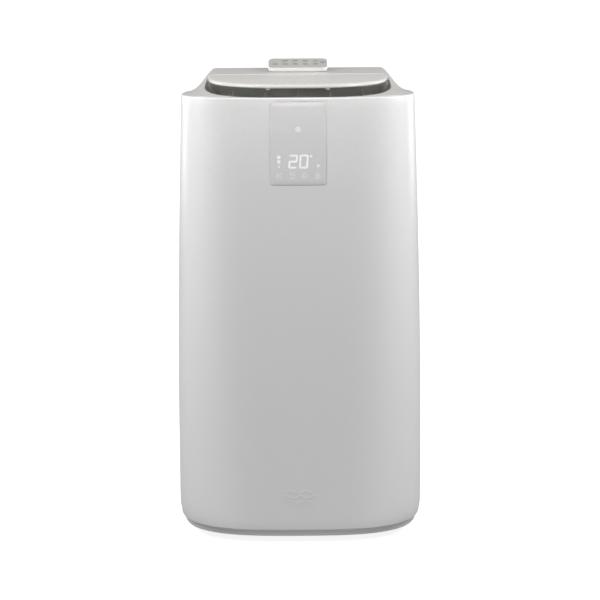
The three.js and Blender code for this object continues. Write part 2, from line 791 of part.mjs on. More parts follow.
// ---- condenser blower
const hotFront = 14;
const hotBack = 106;
const hotZ = baseTop + condenserFanRadius + scrollRoom + 8;
const hotCase = (grow, front, back) => {
  const radius = condenserFanRadius + scrollRoom + grow;
  const tower = exhaustFlange + 4 + grow;
  return join(
    rod('y', radius, front, back, 0, hotZ),
    block(-tower, tower, front, back, hotZ, exhaustHeight + exhaustFlange + 4 + grow),
  );
};
piece(
  'condenser_scroll',
  cut(
    hotCase(0, hotFront, hotBack),
    hotCase(-scrollWall, hotFront + scrollWall, hotBack - scrollWall),
    rod('y', condenserFanRadius - 10, 50, hotBack + 1, 0, hotZ),
    rod('y', exhaustBore, 50, hotBack + 1, 0, exhaustHeight),
    rod('y', shaftRadius + slack, hotFront - 1, 50, 0, hotZ, 16),
  ),
  finishes.dark,
);
drumFan('condenser_fan', condenserFanRadius, hotFront + 12, hotBack - 12, hotZ);
fanMotor('condenser_motor', 40, hotFront - 60, hotFront - gap, hotFront + 38, hotZ);

// ---- exhaust collar: a sleeve to the scroll with a flat flange set into the back
const exhaustFace = backAt(exhaustHeight, exhaustFlange) - 1;
piece(
  'exhaust_collar',
  cut(
    join(
      rod('y', exhaustBore + 4, hotBack + gap, exhaustFace - 5, 0, exhaustHeight, 24),
      rod('y', exhaustFlange, exhaustFace - 22, exhaustFace, 0, exhaustHeight, 24),
    ),
    rod('y', exhaustBore, 0, deep, 0, exhaustHeight, 24),
  ),
  finishes.silver,
);

// ---- compressor, control box, pipe, gland and drain plug
const compressorX = -(halfWidth - compressorRadius - 38);
const compressorY = -(halfDepth - compressorRadius - 68);
const can = [
  [0, 0],
  [46, 0],
  [46, 12],
  [compressorRadius, 26],
  [compressorRadius, compressorHeight - 30],
  [48, compressorHeight - 8],
  [14, compressorHeight],
  [0, compressorHeight],
];
const canSolid = toSolid(
  new THREE.LatheGeometry(can.map(([r, h]) => new THREE.Vector2(r, h)), 24).rotateX(Math.PI / 2),
).translate([compressorX, compressorY, wellRoof + gap]);
piece('compressor', canSolid, finishes.black);

const boxX = halfWidth - 98;
const boxY = -(halfDepth - 100);
const boxHalf = 42;
const boxSolid = block(
  boxX - boxHalf,
  boxX + boxHalf,
  boxY - boxHalf,
  boxY + boxHalf,
  wellRoof + 8,
  wellRoof + 190,
);
piece('control_box', boxSolid, finishes.metal);

const pipeEndX = -coilHalf - gap;
const pipeStart = wellRoof + gap + compressorHeight + gap;
const coilInletZ = filterLow + 60;
const route = new THREE.CatmullRomCurve3(
  [
    [compressorX, compressorY, pipeStart],
    [compressorX, compressorY, pipeStart + 22],
    [compressorX - 8, compressorY + 30, pipeStart + 40],
    [pipeX, pipeY - 30, pipeStart + 60],
    [pipeX, pipeY, trayHeight - 60],
    [pipeX, pipeY, trayHeight + 40],
    [pipeX, pipeY + 30, coilInletZ - 22],
    [pipeX - 4, evaporatorBack - evaporatorThick / 2, coilInletZ - 4],
    [pipeX + 4, evaporatorBack - evaporatorThick / 2, coilInletZ],
    [pipeEndX, evaporatorBack - evaporatorThick / 2, coilInletZ],
  ].map(([x, y, z]) => new THREE.Vector3(x, y, z)),
);
const pipeSection = new THREE.Shape();
pipeSection.absarc(0, 0, pipeRadius, 0, 2 * Math.PI);
const pipe = new THREE.ExtrudeGeometry(pipeSection, { steps: 24, curveSegments: 4, extrudePath: route });
piece('suction_pipe', toSolid(pipe), finishes.copper);

const glandBack = backAt(glandZ, glandX);
piece(
  'cord_gland',
  join(
    rod('y', glandRadius, glandBack - 24, glandBack + 5, glandX, glandZ, 20),
    rod('y', glandRadius - 3, glandBack + 4, glandBack + 11, glandX, glandZ, 16),
  ),
  finishes.black,
);
const drainBack = backAt(drainZ, drainX);
piece(
  'drain_plug',
  cut(
    rod('y', drainRadius, drainBack - 22, drainBack, drainX, drainZ),
    block(drainX - 9, drainX + 9, drainBack - 5, drainBack + 1, drainZ - 1.5, drainZ + 1.5),
  ),
  finishes.black,
);

// ---- remote control: case, face, battery tray and keys, in the tilted seat
const caseFloor = 1.2;
const faceThickness = 1.2;
const faceInset = 1;
const faceBottom = remoteThickness - faceThickness;
const remotePlan = (inset) => {
  const [width, depth] = [remoteWidth - 2 * inset, remoteDepth - 2 * inset];
  return roundedRect(width, depth, remoteCorner - inset, 0, remoteDepth / 2);
};
const batteryLow = caseFloor + gap;
const batteryHigh = batteryLow + 2.4;
const batteryHalf = 12;
const batteryMiddle = remoteDepth / 2 + 1;
const batteryInner = 8;
const remoteSolid = raise(remotePlan(0), 0, remoteThickness);
const batterySlot = (grow) =>
  block(
    batteryInner - grow,
    remoteWidth,
    batteryMiddle - batteryHalf - grow,
    batteryMiddle + batteryHalf + grow,
    batteryLow - grow,
    batteryHigh + grow,
  );
const battery = cut(
  batterySlot(0).intersect(remoteSolid),
  rod('z', 10.3, batteryLow + 0.7, farAbove, batteryInner + 13, batteryMiddle, 20),
);
piece(
  'remote_case',
  cut(
    remoteSolid,
    raise(remotePlan(2.4), caseFloor, faceBottom - gap + 0.1),
    raise(remotePlan(faceInset), faceBottom - gap, remoteThickness + 1),
    batterySlot(gap - 0.05),
  ),
  finishes.white,
  remoteSeat,
);
piece('battery_tray', battery, finishes.black, remoteSeat);

const keyRows = [
  { v: keyRowFront, columns: [-1.5, -0.5, 0.5, 1.5, -2.5] },
  { v: keyRowBack, columns: [-1.5, -0.5, 0.5, 1.5] },
];
const keyShift = 4.05;
const keySpots = keyRows.flatMap(({ v, columns }) =>
  columns.map((column) => [column * keyColumnPitch + keyShift, v]),
);
const powerSpot = [remoteWidth / 2 - 8, (keyRowFront + keyRowBack) / 2];
const keyPlan = (spot, grow) => roundedRect(keyWidth + 2 * grow, keyDepth + 2 * grow, 2 + grow, ...spot);
const powerPlan = (spot, grow) => {
  const disc = new THREE.Shape();
  disc.absarc(spot[0], spot[1], powerKeyRadius + grow, 0, 2 * Math.PI);
  return disc;
};
const keys = [...keySpots.map((spot) => [spot, keyPlan]), [powerSpot, powerPlan]];
const keyClear = 0.25;
const keyArc = (plan) => (plan === powerPlan ? 4 : 1);
piece(
  'remote_face',
  cut(
    raise(remotePlan(faceInset + 0.15), faceBottom, remoteThickness),
    ...keys.map(([spot, plan]) => raise(plan(spot, keyClear), 0, farAbove, keyArc(plan))),
  ),
  finishes.remoteFace,
  remoteSeat,
);
keys.forEach(([spot, plan], index) => {
  const top = remoteThickness + 0.5;
  const flange = raise(plan(spot, 0.8), faceBottom - 0.6, faceBottom - 0.2, keyArc(plan));
  const cap = raise(plan(spot, 0), faceBottom - 0.4, top, keyArc(plan));
  const name = plan === powerPlan ? 'key_power' : `key_${index + 1}`;
  piece(name, join(flange, cap), finishes.key, remoteSeat);
});

export default airConditioner;
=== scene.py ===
# %% [markdown]
# # A portable air conditioner in white plastic
# The part's frame is loaded first. Every piece below takes its place from that frame, in metres, with +Z up
# and the front of the machine towards -Y. The box of the frame is kept; it gives the body's half width and depth.

# %% Load the frame
import json
import math

import bmesh
import bpy
import numpy as np
from mathutils import Matrix, Vector


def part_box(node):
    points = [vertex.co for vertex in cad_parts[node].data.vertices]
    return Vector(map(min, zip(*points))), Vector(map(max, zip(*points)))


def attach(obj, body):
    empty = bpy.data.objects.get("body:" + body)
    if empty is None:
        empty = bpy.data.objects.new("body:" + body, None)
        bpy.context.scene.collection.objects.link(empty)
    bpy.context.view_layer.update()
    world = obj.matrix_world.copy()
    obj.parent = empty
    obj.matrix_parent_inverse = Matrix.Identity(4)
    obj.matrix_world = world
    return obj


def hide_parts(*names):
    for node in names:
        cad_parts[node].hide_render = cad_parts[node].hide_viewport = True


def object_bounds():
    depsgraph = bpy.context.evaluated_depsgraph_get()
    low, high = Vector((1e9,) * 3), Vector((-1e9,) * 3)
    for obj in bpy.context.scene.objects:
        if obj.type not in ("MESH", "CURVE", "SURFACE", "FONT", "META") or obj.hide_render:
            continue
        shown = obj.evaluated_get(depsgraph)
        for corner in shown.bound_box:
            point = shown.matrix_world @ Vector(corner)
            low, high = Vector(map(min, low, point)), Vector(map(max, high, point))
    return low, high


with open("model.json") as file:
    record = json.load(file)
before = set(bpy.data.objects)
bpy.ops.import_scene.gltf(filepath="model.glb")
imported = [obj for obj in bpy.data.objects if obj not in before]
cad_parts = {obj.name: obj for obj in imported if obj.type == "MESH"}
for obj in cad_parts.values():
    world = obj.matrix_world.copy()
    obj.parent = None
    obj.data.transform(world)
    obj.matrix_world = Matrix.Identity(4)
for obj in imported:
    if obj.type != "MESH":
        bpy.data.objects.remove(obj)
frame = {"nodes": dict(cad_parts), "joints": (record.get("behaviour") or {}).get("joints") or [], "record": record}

cad_low, cad_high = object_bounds()
nodes = frame["nodes"]
body_of_node = {node: body for body, members in frame["record"]["behaviour"]["bodies"].items() for node in members}
slot_of_node = {part["node"]: part["material_slot"] for part in frame["record"]["subparts"]}
print(len(nodes), "nodes in", round(cad_high[0] - cad_low[0], 3), "x", round(cad_high[1] - cad_low[1], 3), "m")

# %% [markdown]
# ## Camera
# A product picture of a tall machine is taken from far away with a long lens, so its sides stay nearly upright.
# The eye is four metres in front of the cover and one metre up, and looks down a little, which shows the top.

# %% Camera
EYE_AHEAD = 4.2
EYE_HEIGHT = 1.011
LOOK_DOWN = 8.72
LENS = 152.8
SIDE_STEP = 0.0052
ROLL = 0.34

camera_data = bpy.data.cameras.new("product_camera")
camera_data.lens = LENS
camera_data.sensor_width = 36
camera_data.clip_end = 60
camera = bpy.data.objects.new("product_camera", camera_data)
camera.location = (SIDE_STEP, -EYE_AHEAD, EYE_HEIGHT)
camera.rotation_euler = (math.radians(90 - LOOK_DOWN), math.radians(ROLL), 0)
bpy.context.scene.collection.objects.link(camera)
bpy.context.scene.camera = camera
print("camera", tuple(round(v, 3) for v in camera.location))

# %% [markdown]
# ## Studio
# The machine stands on a pale floor in a white room. Two soft boxes stand almost beside it, above the lip, so the
# rounded corners turn bright near the top and fade towards the foot, while the flat front stays a calm grey. The
# floor gives little light back, but shows itself to the camera brighter than it is, as an overexposed paper does.
# A box above the front and a far one ahead lift the flat front. Two low ones behind keep the back readable.

# %% Floor
NEAR_GLOW = 0.88
FAR_GLOW = 1.1
GLOW_START = 0.3
GLOW_END = 1.1
FLOOR_REACH = 14.0


def make_material(name):
    """A new material with its Principled shader, ready for more nodes."""
    material = bpy.data.materials.new(name)
    material.use_nodes = True
    tree = material.node_tree
    shader = tree.nodes["Principled BSDF"]
    return material, tree, shader


def seen_directly(tree, strength):
    """A socket that is strength for what the camera sees, and nothing for light that bounces."""
    path = tree.nodes.new("ShaderNodeLightPath")
    scale = tree.nodes.new("ShaderNodeMath")
    scale.operation = "MULTIPLY"
    tree.links.new(path.outputs["Is Camera Ray"], scale.inputs[0])
    if isinstance(strength, float):
        scale.inputs[1].default_value = strength
    else:
        tree.links.new(strength, scale.inputs[1])
    return scale.outputs["Value"]


def glow_by_distance(tree):
    """Less glow near the machine, so that its soft shadow shows, and pure white farther out."""
    away = tree.nodes.new("ShaderNodeVectorMath")
    away.operation = "LENGTH"
    tree.links.new(tree.nodes.new("ShaderNodeTexCoord").outputs["Object"], away.inputs[0])
    ramp = tree.nodes.new("ShaderNodeMapRange")
    limits = {"From Min": GLOW_START, "From Max": GLOW_END, "To Min": NEAR_GLOW, "To Max": FAR_GLOW}
    for label, value in limits.items():
        ramp.inputs[label].default_value = value
    tree.links.new(away.outputs["Value"], ramp.inputs["Value"])
    return ramp.outputs["Result"]


def paper_floor():
    """One wide sheet of faintly fibrous paper, put on the stage."""
    corners = [(sx * FLOOR_REACH, sy * FLOOR_REACH, 0.0) for sx, sy in ((-1, -1), (1, -1), (1, 1), (-1, 1))]
    mesh = bpy.data.meshes.new("paper_floor")
    mesh.from_pydata(corners, [], [(0, 1, 2, 3)])
    floor = bpy.data.objects.new("paper_floor", mesh)
    bpy.context.scene.collection.objects.link(floor)
    material, tree, shader = make_material("paper_floor")
    fibre = tree.nodes.new("ShaderNodeTexNoise")
    fibre.inputs["Scale"].default_value = 260
    tone = tree.nodes.new("ShaderNodeMix")
    tone.data_type = "RGBA"
    tone.inputs["A"].default_value = (0.42, 0.42, 0.42, 1)
    tone.inputs["B"].default_value = (0.46, 0.46, 0.46, 1)
    tree.links.new(fibre.outputs["Fac"], tone.inputs["Factor"])
    tree.links.new(tone.outputs["Result"], shader.inputs["Base Color"])
    shader.inputs["Roughness"].default_value = 0.9
    shader.inputs["Specular IOR Level"].default_value = 0.1
    shader.inputs["Emission Color"].default_value = (1, 1, 1, 1)
    tree.links.new(seen_directly(tree, glow_by_distance(tree)), shader.inputs["Emission Strength"])
    mesh.materials.append(material)


paper_floor()

# %% [markdown]
# The outlet is a deep pit under the flap, and no wide box reaches into it. A very narrow beam from ahead does. It is
# so concentrated that the glossy panel would mirror it as a white patch, so glossy rays don't see it.

# %% Lights and room
SIDE_WATTS = 13.8
REAR_WATTS = 12.0
FILL_WATTS = 8.0
BEAM_WATTS = 0.05
BEAM_SPREAD = 6
FRONT_WATTS = 23.0
ROOM_LIGHT = 0.12
ROOM_SEEN = 1.1


def soft_box(name, place, aim, width, height, watts, spread=180, mirrored=True):
    """A rectangular lamp at place, turned to face aim. Spread is in degrees."""
    light = bpy.data.lights.new(name, "AREA")
    light.shape = "RECTANGLE"
    light.size = width
    light.size_y = height
    light.energy = watts
    light.spread = math.radians(spread)
    lamp = bpy.data.objects.new(name, light)
    lamp.visible_glossy = mirrored
    lamp.location = place
    lamp.rotation_euler = (Vector(aim) - Vector(place)).to_track_quat("-Z", "Y").to_euler()
    bpy.context.scene.collection.objects.link(lamp)


soft_box("side_box_left", (-1.2, -0.27, 1.3), (0, -0.05, 0.7), 0.5, 0.9, SIDE_WATTS)
soft_box("side_box_right", (1.2, -0.27, 1.3), (0, -0.05, 0.7), 0.5, 0.9, SIDE_WATTS)
for side, sign in (("left", -1), ("right", 1)):
    soft_box(f"rear_box_{side}", (sign * 1.7, 1.7, 1.0), (0, 0.2, 0.4), 1.0, 1.4, REAR_WATTS)
soft_box("fill_box", (0, -4.6, 1.5), (0, 0, 0.5), 1.0, 1.0, FILL_WATTS)
soft_box("beam_box", (0, -4.4, 1.1), (0, -0.1, 0.8), 0.25, 0.1, BEAM_WATTS, BEAM_SPREAD, mirrored=False)
soft_box("front_box", (0, -1.5, 2.2), (0, 0, 0.75), 1.2, 0.8, FRONT_WATTS)

room = bpy.data.worlds.new("white_room")
bpy.context.scene.world = room
room.use_nodes = True
backdrop = room.node_tree.nodes["Background"]
backdrop.inputs["Color"].default_value = (1, 1, 1, 1)
direct = seen_directly(room.node_tree, ROOM_SEEN)
lift = room.node_tree.nodes.new("ShaderNodeMath")
lift.operation = "MAXIMUM"
lift.inputs[1].default_value = ROOM_LIGHT
room.node_tree.links.new(direct, lift.inputs[0])
room.node_tree.links.new(lift.outputs["Value"], backdrop.inputs["Strength"])
bpy.context.scene.view_settings.view_transform = "Standard"

# %% [markdown]
# ## Shader groups
# Moulded plastic is never one flat colour. The mould leaves a fine spark-eroded grain, the pigment drifts a little
# over a large wall, and the gloss varies where hands and cloths have been. These effects are shared by many
# materials, so each is a node group with named inputs that each material sets for itself.

# %% Node group helper
def new_group(name, inputs, outputs):
    """A shader node group with typed sockets; inputs give each socket's kind and default."""
    tree = bpy.data.node_groups.new(name, "ShaderNodeTree")
    kinds = {"float": "NodeSocketFloat", "colour": "NodeSocketColor", "vector": "NodeSocketVector"}
    for label, kind, value in inputs:
        socket = tree.interface.new_socket(label, in_out="INPUT", socket_type=kinds[kind])
        socket.default_value = value
    for label, kind in outputs:
        tree.interface.new_socket(label, in_out="OUTPUT", socket_type=kinds[kind])
    return tree, tree.nodes.new("NodeGroupInput"), tree.nodes.new("NodeGroupOutput")


def node(tree, kind, **settings):
    made = tree.nodes.new(kind)
    for key, value in settings.items():
        setattr(made, key, value)
    return made


def maths(tree, operation, a, b):
    """One maths node; a and b are numbers or sockets."""
    made = node(tree, "ShaderNodeMath", operation=operation)
    for index, value in enumerate((a, b)):
        if isinstance(value, (int, float)):
            made.inputs[index].default_value = value
        else:
            tree.links.new(value, made.inputs[index])
    return made.outputs["Value"]


def blend_colours(tree, factor, a, b):
    made = node(tree, "ShaderNodeMix", data_type="RGBA")
    for label, value in (("Factor", factor), ("A", a), ("B", b)):
        socket = made.inputs[label]
        if isinstance(value, (int, float, tuple)):
            socket.default_value = value
        else:
            tree.links.new(value, socket)
    return made.outputs["Result"]


# %% Moulded skin: pigment drift, grain and uneven gloss
def build_moulded_skin():
    tree, source, sink = new_group(
        "moulded_skin",
        [
            ("Pigment", "colour", (0.8, 0.8, 0.8, 1)),
            ("Drift", "float", 0.03),
            ("Grain Size", "float", 1400.0),
            ("Gloss Spread", "float", 0.08),
            ("Roughness", "float", 0.4),
        ],
        [("Colour", "colour"), ("Roughness", "float"), ("Height", "float")],
    )
    place = node(tree, "ShaderNodeTexCoord").outputs["Object"]
    cloud = node(tree, "ShaderNodeTexNoise")
    cloud.inputs["Scale"].default_value = 7
    cloud.inputs["Detail"].default_value = 4
    grain = node(tree, "ShaderNodeTexNoise")
    grain.inputs["Detail"].default_value = 3
    smear = node(tree, "ShaderNodeTexNoise")
    smear.inputs["Scale"].default_value = 34
    smear.inputs["Detail"].default_value = 5
    for texture in (cloud, grain, smear):
        tree.links.new(place, texture.inputs["Vector"])
    tree.links.new(source.outputs["Grain Size"], grain.inputs["Scale"])
    darker = blend_colours(tree, source.outputs["Drift"], source.outputs["Pigment"], (0.0, 0.0, 0.0, 1))
    colour = blend_colours(tree, cloud.outputs["Fac"], darker, source.outputs["Pigment"])
    centred = maths(tree, "SUBTRACT", smear.outputs["Fac"], 0.5)
    spread = maths(tree, "MULTIPLY", centred, source.outputs["Gloss Spread"])
    tree.links.new(colour, sink.inputs["Colour"])
    tree.links.new(maths(tree, "ADD", spread, source.outputs["Roughness"]), sink.inputs["Roughness"])
    tree.links.new(grain.outputs["Fac"], sink.inputs["Height"])
    return tree


def build_settled_dust():
    """A mask that is strongest on faces that look up, broken into soft patches."""
    tree, source, sink = new_group("settled_dust", [("Amount", "float", 0.1)], [("Mask", "float")])
    facing = node(tree, "ShaderNodeSeparateXYZ")
    tree.links.new(node(tree, "ShaderNodeNewGeometry").outputs["Normal"], facing.inputs["Vector"])
    upward = maths(tree, "MAXIMUM", facing.outputs["Z"], 0.0)
    patches = node(tree, "ShaderNodeTexNoise")
    patches.inputs["Scale"].default_value = 60
    patches.inputs["Detail"].default_value = 6
    tree.links.new(node(tree, "ShaderNodeTexCoord").outputs["Object"], patches.inputs["Vector"])
    patchy = maths(tree, "MULTIPLY", upward, patches.outputs["Fac"])
    tree.links.new(maths(tree, "MULTIPLY", patchy, source.outputs["Amount"]), sink.inputs["Mask"])
    return tree


def build_drawn_metal():
    """Fine parallel scratches along one axis, as rolling or turning leaves them."""
    tree, source, sink = new_group(
        "drawn_metal",
        [("Stretch", "vector", (30.0, 2000.0, 2000.0)), ("Roughness", "float", 0.35)],
        [("Roughness", "float"), ("Height", "float"), ("Mask", "float")],
    )
    stretch = node(tree, "ShaderNodeVectorMath", operation="MULTIPLY")
    tree.links.new(node(tree, "ShaderNodeTexCoord").outputs["Object"], stretch.inputs[0])
    tree.links.new(source.outputs["Stretch"], stretch.inputs[1])
    lines = node(tree, "ShaderNodeTexNoise")
    lines.inputs["Scale"].default_value = 1.0
    tree.links.new(stretch.outputs["Vector"], lines.inputs["Vector"])
    spread = maths(tree, "MULTIPLY", lines.outputs["Fac"], 0.2)
    tree.links.new(maths(tree, "ADD", spread, source.outputs["Roughness"]), sink.inputs["Roughness"])
    tree.links.new(lines.outputs["Fac"], sink.inputs["Height"])
    tree.links.new(lines.outputs["Fac"], sink.inputs["Mask"])
    return tree


def build_ribs():
    """Evenly spaced lines across one direction: fins of a coil or threads of a cloth."""
    tree, source, sink = new_group(
        "ribs", [("Direction", "vector", (1.0, 0.0, 0.0)), ("Pitch", "float", 0.002)], [("Mask", "float")]
    )
    along = node(tree, "ShaderNodeVectorMath", operation="DOT_PRODUCT")
    tree.links.new(node(tree, "ShaderNodeTexCoord").outputs["Object"], along.inputs[0])
    tree.links.new(source.outputs["Direction"], along.inputs[1])
    turns = maths(tree, "DIVIDE", along.outputs["Value"], source.outputs["Pitch"])
    wave = maths(tree, "PINGPONG", turns, 0.5)
    tree.links.new(maths(tree, "MULTIPLY", wave, 2.0), sink.inputs["Mask"])
    return tree


groups = {
    "skin": build_moulded_skin(),
    "dust": build_settled_dust(),
    "metal": build_drawn_metal(),
    "ribs": build_ribs(),
}
print("shader groups:", ", ".join(sorted(groups)))


def place_group(tree, key, **values):
    made = node(tree, "ShaderNodeGroup", node_tree=groups[key])
    for label, value in values.items():
        made.inputs[label.replace("_", " ")].default_value = value
    return made


def raise_bump(tree, shader, height, depth, strength=1.0):
    bump = node(tree, "ShaderNodeBump")
    bump.inputs["Strength"].default_value = strength
    bump.inputs["Distance"].default_value = depth
    tree.links.new(height, bump.inputs["Height"])
    tree.links.new(bump.outputs["Normal"], shader.inputs["Normal"])


# %% [markdown]
# ## Finishes
# Each finish is a short function. Plastics share one: they differ in pigment, gloss and grain. The white front
# is the smoothest, the warm grey deck is a little coarser, and the hidden dark mouldings are the coarsest.

# %% Plastics
def plastic(name, pigment, roughness, grain_size=1400.0, grain_depth=0.00002, drift=0.03, dust=0.05, coat=0.0):
    material, tree, shader = make_material(name)
    skin = place_group(tree, "skin", Pigment=(*pigment, 1), Drift=drift, Grain_Size=grain_size, Roughness=roughness)
    film = place_group(tree, "dust", Amount=dust)
    colour = blend_colours(tree, film.outputs["Mask"], skin.outputs["Colour"], (0.62, 0.6, 0.56, 1))
    tree.links.new(colour, shader.inputs["Base Color"])
    tree.links.new(
        maths(tree, "ADD", skin.outputs["Roughness"], film.outputs["Mask"]), shader.inputs["Roughness"]
    )
    raise_bump(tree, shader, skin.outputs["Height"], grain_depth)
    shader.inputs["IOR"].default_value = 1.47
    shader.inputs["Coat Weight"].default_value = coat
    shader.inputs["Coat Roughness"].default_value = 0.2
    return material


DECK_PIGMENT = (0.57, 0.559, 0.537)
# The flap is moulded in the deck's warm grey. Its pigment is painted lighter than the deck's, as painted light, so it
# shows as bright as the deck although it catches less light.
FLAP_PIGMENT_PAINTED_LIGHTER = (0.68, 0.668, 0.647)
white_plastic = plastic("white_plastic", (0.86, 0.86, 0.86), 0.34, dust=0.0, drift=0.015)
silver_plastic = plastic("light_grey_plastic", (0.79, 0.79, 0.785), 0.42, dust=0.02)
deck_plastic = plastic("warm_grey_plastic", DECK_PIGMENT, 0.42, grain_size=1100.0, drift=0.04, dust=0.02)
flap_plastic_painted_lighter = plastic("flap_plastic_painted_lighter", FLAP_PIGMENT_PAINTED_LIGHTER, 0.4, grain_size=1400.0, drift=0.03, dust=0.02)
dark_plastic = plastic("dark_grey_plastic", (0.075, 0.075, 0.078), 0.55, grain_size=900.0, grain_depth=0.00004)
# The duct and vanes get a pigment that is partly painted light. It is lifted well above their real grey so that the
# shaded pit under the flap shows lighter.
duct_plastic_painted_lighter = plastic("duct_plastic_painted_lighter", (0.8, 0.785, 0.76), 0.6, grain_size=900.0, grain_depth=0.00004)
# The foot tray is a dark grey moulding. Its pigment is painted much lighter, as painted light that makes up for the
# shade under the cover.
foot_plastic_painted_lighter = plastic("foot_plastic_painted_lighter", (0.75, 0.75, 0.75), 0.5, grain_size=900.0)
black_plastic = plastic("black_plastic", (0.02, 0.02, 0.022), 0.5, grain_size=900.0)
panel_film = plastic(
    "panel_film", (0.83, 0.83, 0.83), 0.2, grain_size=2500.0, grain_depth=0.000004, dust=0.0, coat=0.4
)
remote_plate = plastic("remote_plate", (0.46, 0.455, 0.435), 0.42, dust=0.0)
key_rubber = plastic("key_rubber", (0.3, 0.295, 0.28), 0.7, grain_size=2000.0, dust=0.0)
wheel_rubber = plastic("wheel_rubber", (0.02, 0.02, 0.021), 0.75, grain_size=700.0, grain_depth=0.00008, dust=0.3)
grey_casing = plastic("grey_casing", (0.3, 0.31, 0.32), 0.5)


# %% [markdown]
# The marks on the touch panel are printed in a pale, faintly lit ink, so they are a finish of their own with a
# little light behind them, uneven as an LED shining through print is.

# %% Lit ink
def lit_ink(name, strength):
    material, tree, shader = make_material(name)
    skin = place_group(tree, "skin", Pigment=(0.95, 0.96, 0.97, 1), Grain_Size=600.0, Roughness=0.35)
    tree.links.new(skin.outputs["Colour"], shader.inputs["Base Color"])
    tree.links.new(skin.outputs["Roughness"], shader.inputs["Roughness"])
    tree.links.new(skin.outputs["Colour"], shader.inputs["Emission Color"])
    raise_bump(tree, shader, skin.outputs["Height"], 0.000005)
    shader.inputs["Emission Strength"].default_value = strength
    return material


bright_ink = lit_ink("bright_ink", 0.35)
faint_ink = lit_ink("faint_ink", 0.06)


# %% Metals, cloth and circuit board
def metal(name, tint, roughness, stretch=(30.0, 2000.0, 2000.0)):
    material, tree, shader = make_material(name)
    drawn = place_group(tree, "metal", Stretch=stretch, Roughness=roughness)
    shade = tuple(0.75 * channel for channel in tint)
    tree.links.new(blend_colours(tree, drawn.outputs["Mask"], (*shade, 1), (*tint, 1)), shader.inputs["Base Color"])
    tree.links.new(drawn.outputs["Roughness"], shader.inputs["Roughness"])
    raise_bump(tree, shader, drawn.outputs["Height"], 0.00003)
    shader.inputs["Metallic"].default_value = 1.0
    return material


def finned_with_gap_shade(name, tint, pitch):
    material, tree, shader = make_material(name)
    ribs = place_group(tree, "ribs", Direction=(1.0, 0.0, 0.0), Pitch=pitch)
    rows = place_group(tree, "ribs", Direction=(0.0, 0.0, 1.0), Pitch=0.025)
    # The gaps between the fins are painted dark: painted shade for the deep gaps that light doesn't reach.
    dark = tuple(0.12 * channel for channel in tint)
    lines = blend_colours(tree, ribs.outputs["Mask"], (*dark, 1), (*tint, 1))
    tubes = maths(tree, "MULTIPLY", rows.outputs["Mask"], 0.3)
    tree.links.new(blend_colours(tree, tubes, lines, (*dark, 1)), shader.inputs["Base Color"])
    skin = place_group(tree, "skin", Roughness=0.35)
    tree.links.new(skin.outputs["Roughness"], shader.inputs["Roughness"])
    raise_bump(tree, shader, ribs.outputs["Mask"], 0.0006)
    shader.inputs["Metallic"].default_value = 0.9
    return material


def woven_with_hole_shade(name, tint, pitch):
    material, tree, shader = make_material(name)
    warp = place_group(tree, "ribs", Direction=(1.0, 0.0, 0.0), Pitch=pitch)
    weft = place_group(tree, "ribs", Direction=(0.0, 0.0, 1.0), Pitch=pitch)
    thread = maths(tree, "MAXIMUM", warp.outputs["Mask"], weft.outputs["Mask"])
    # The holes between the threads are painted dark: painted shade for the dim inside of the machine seen through
    # them.
    hole = tuple(0.15 * channel for channel in tint)
    tree.links.new(blend_colours(tree, thread, (*hole, 1), (*tint, 1)), shader.inputs["Base Color"])
    skin = place_group(tree, "skin", Roughness=0.8)
    tree.links.new(skin.outputs["Roughness"], shader.inputs["Roughness"])
    raise_bump(tree, shader, thread, 0.0004)
    return material


def circuit_board(name):
    material, tree, shader = make_material(name)
    tracks = node(tree, "ShaderNodeTexBrick")
    tracks.inputs["Scale"].default_value = 160
    tracks.inputs["Color1"].default_value = (0.02, 0.16, 0.07, 1)
    tracks.inputs["Color2"].default_value = (0.03, 0.22, 0.1, 1)
    tracks.inputs["Mortar"].default_value = (0.08, 0.4, 0.2, 1)
    tree.links.new(node(tree, "ShaderNodeTexCoord").outputs["Object"], tracks.inputs["Vector"])
    tree.links.new(tracks.outputs["Color"], shader.inputs["Base Color"])
    raise_bump(tree, shader, tracks.outputs["Fac"], 0.00005)
    shader.inputs["Roughness"].default_value = 0.4
    return material


steel = metal("plated_steel", (0.62, 0.63, 0.65), 0.3)
copper = metal("drawn_copper", (0.75, 0.38, 0.22), 0.25, stretch=(900.0, 900.0, 60.0))
fins = finned_with_gap_shade("aluminium_fins", (0.72, 0.74, 0.76), 0.002)
filter_cloth = woven_with_hole_shade("filter_cloth", (0.14, 0.15, 0.16), 0.0016)
black_paint = plastic("stoved_black_paint", (0.015, 0.015, 0.016), 0.35, grain_size=500.0, grain_depth=0.00005)
board_green = circuit_board("board_green")
print(len(bpy.data.materials), "finishes")

# %% [markdown]
# ## Helpers that make meshes
# Most of this machine is a skin swept through rings of points: a cover is a wall profile carried round the body's
# plan outline. `skin` joins such rings into one closed mesh. `add_piece` puts a mesh into the scene, rides it on
# its body, and, unless a body is given, hides the frame nodes it stands for.

# %% Mesh helpers
def add_piece(name, verts, faces, material, stands_for, body=None, sharp=35):
    mesh = bpy.data.meshes.new(name)
    mesh.from_pydata([tuple(v) for v in verts], [], faces)
    clean = bmesh.new()
    clean.from_mesh(mesh)
    bmesh.ops.recalc_face_normals(clean, faces=clean.faces)
    clean.to_mesh(mesh)
    clean.free()
    mesh.shade_smooth()
    mesh.set_sharp_from_angle(angle=math.radians(sharp))
    mesh.materials.append(material)
    piece = bpy.data.objects.new(name, mesh)
    bpy.context.scene.collection.objects.link(piece)
    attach(piece, body or body_of_node[stands_for[0]])
    if body is None:
        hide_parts(*stands_for)
    return piece


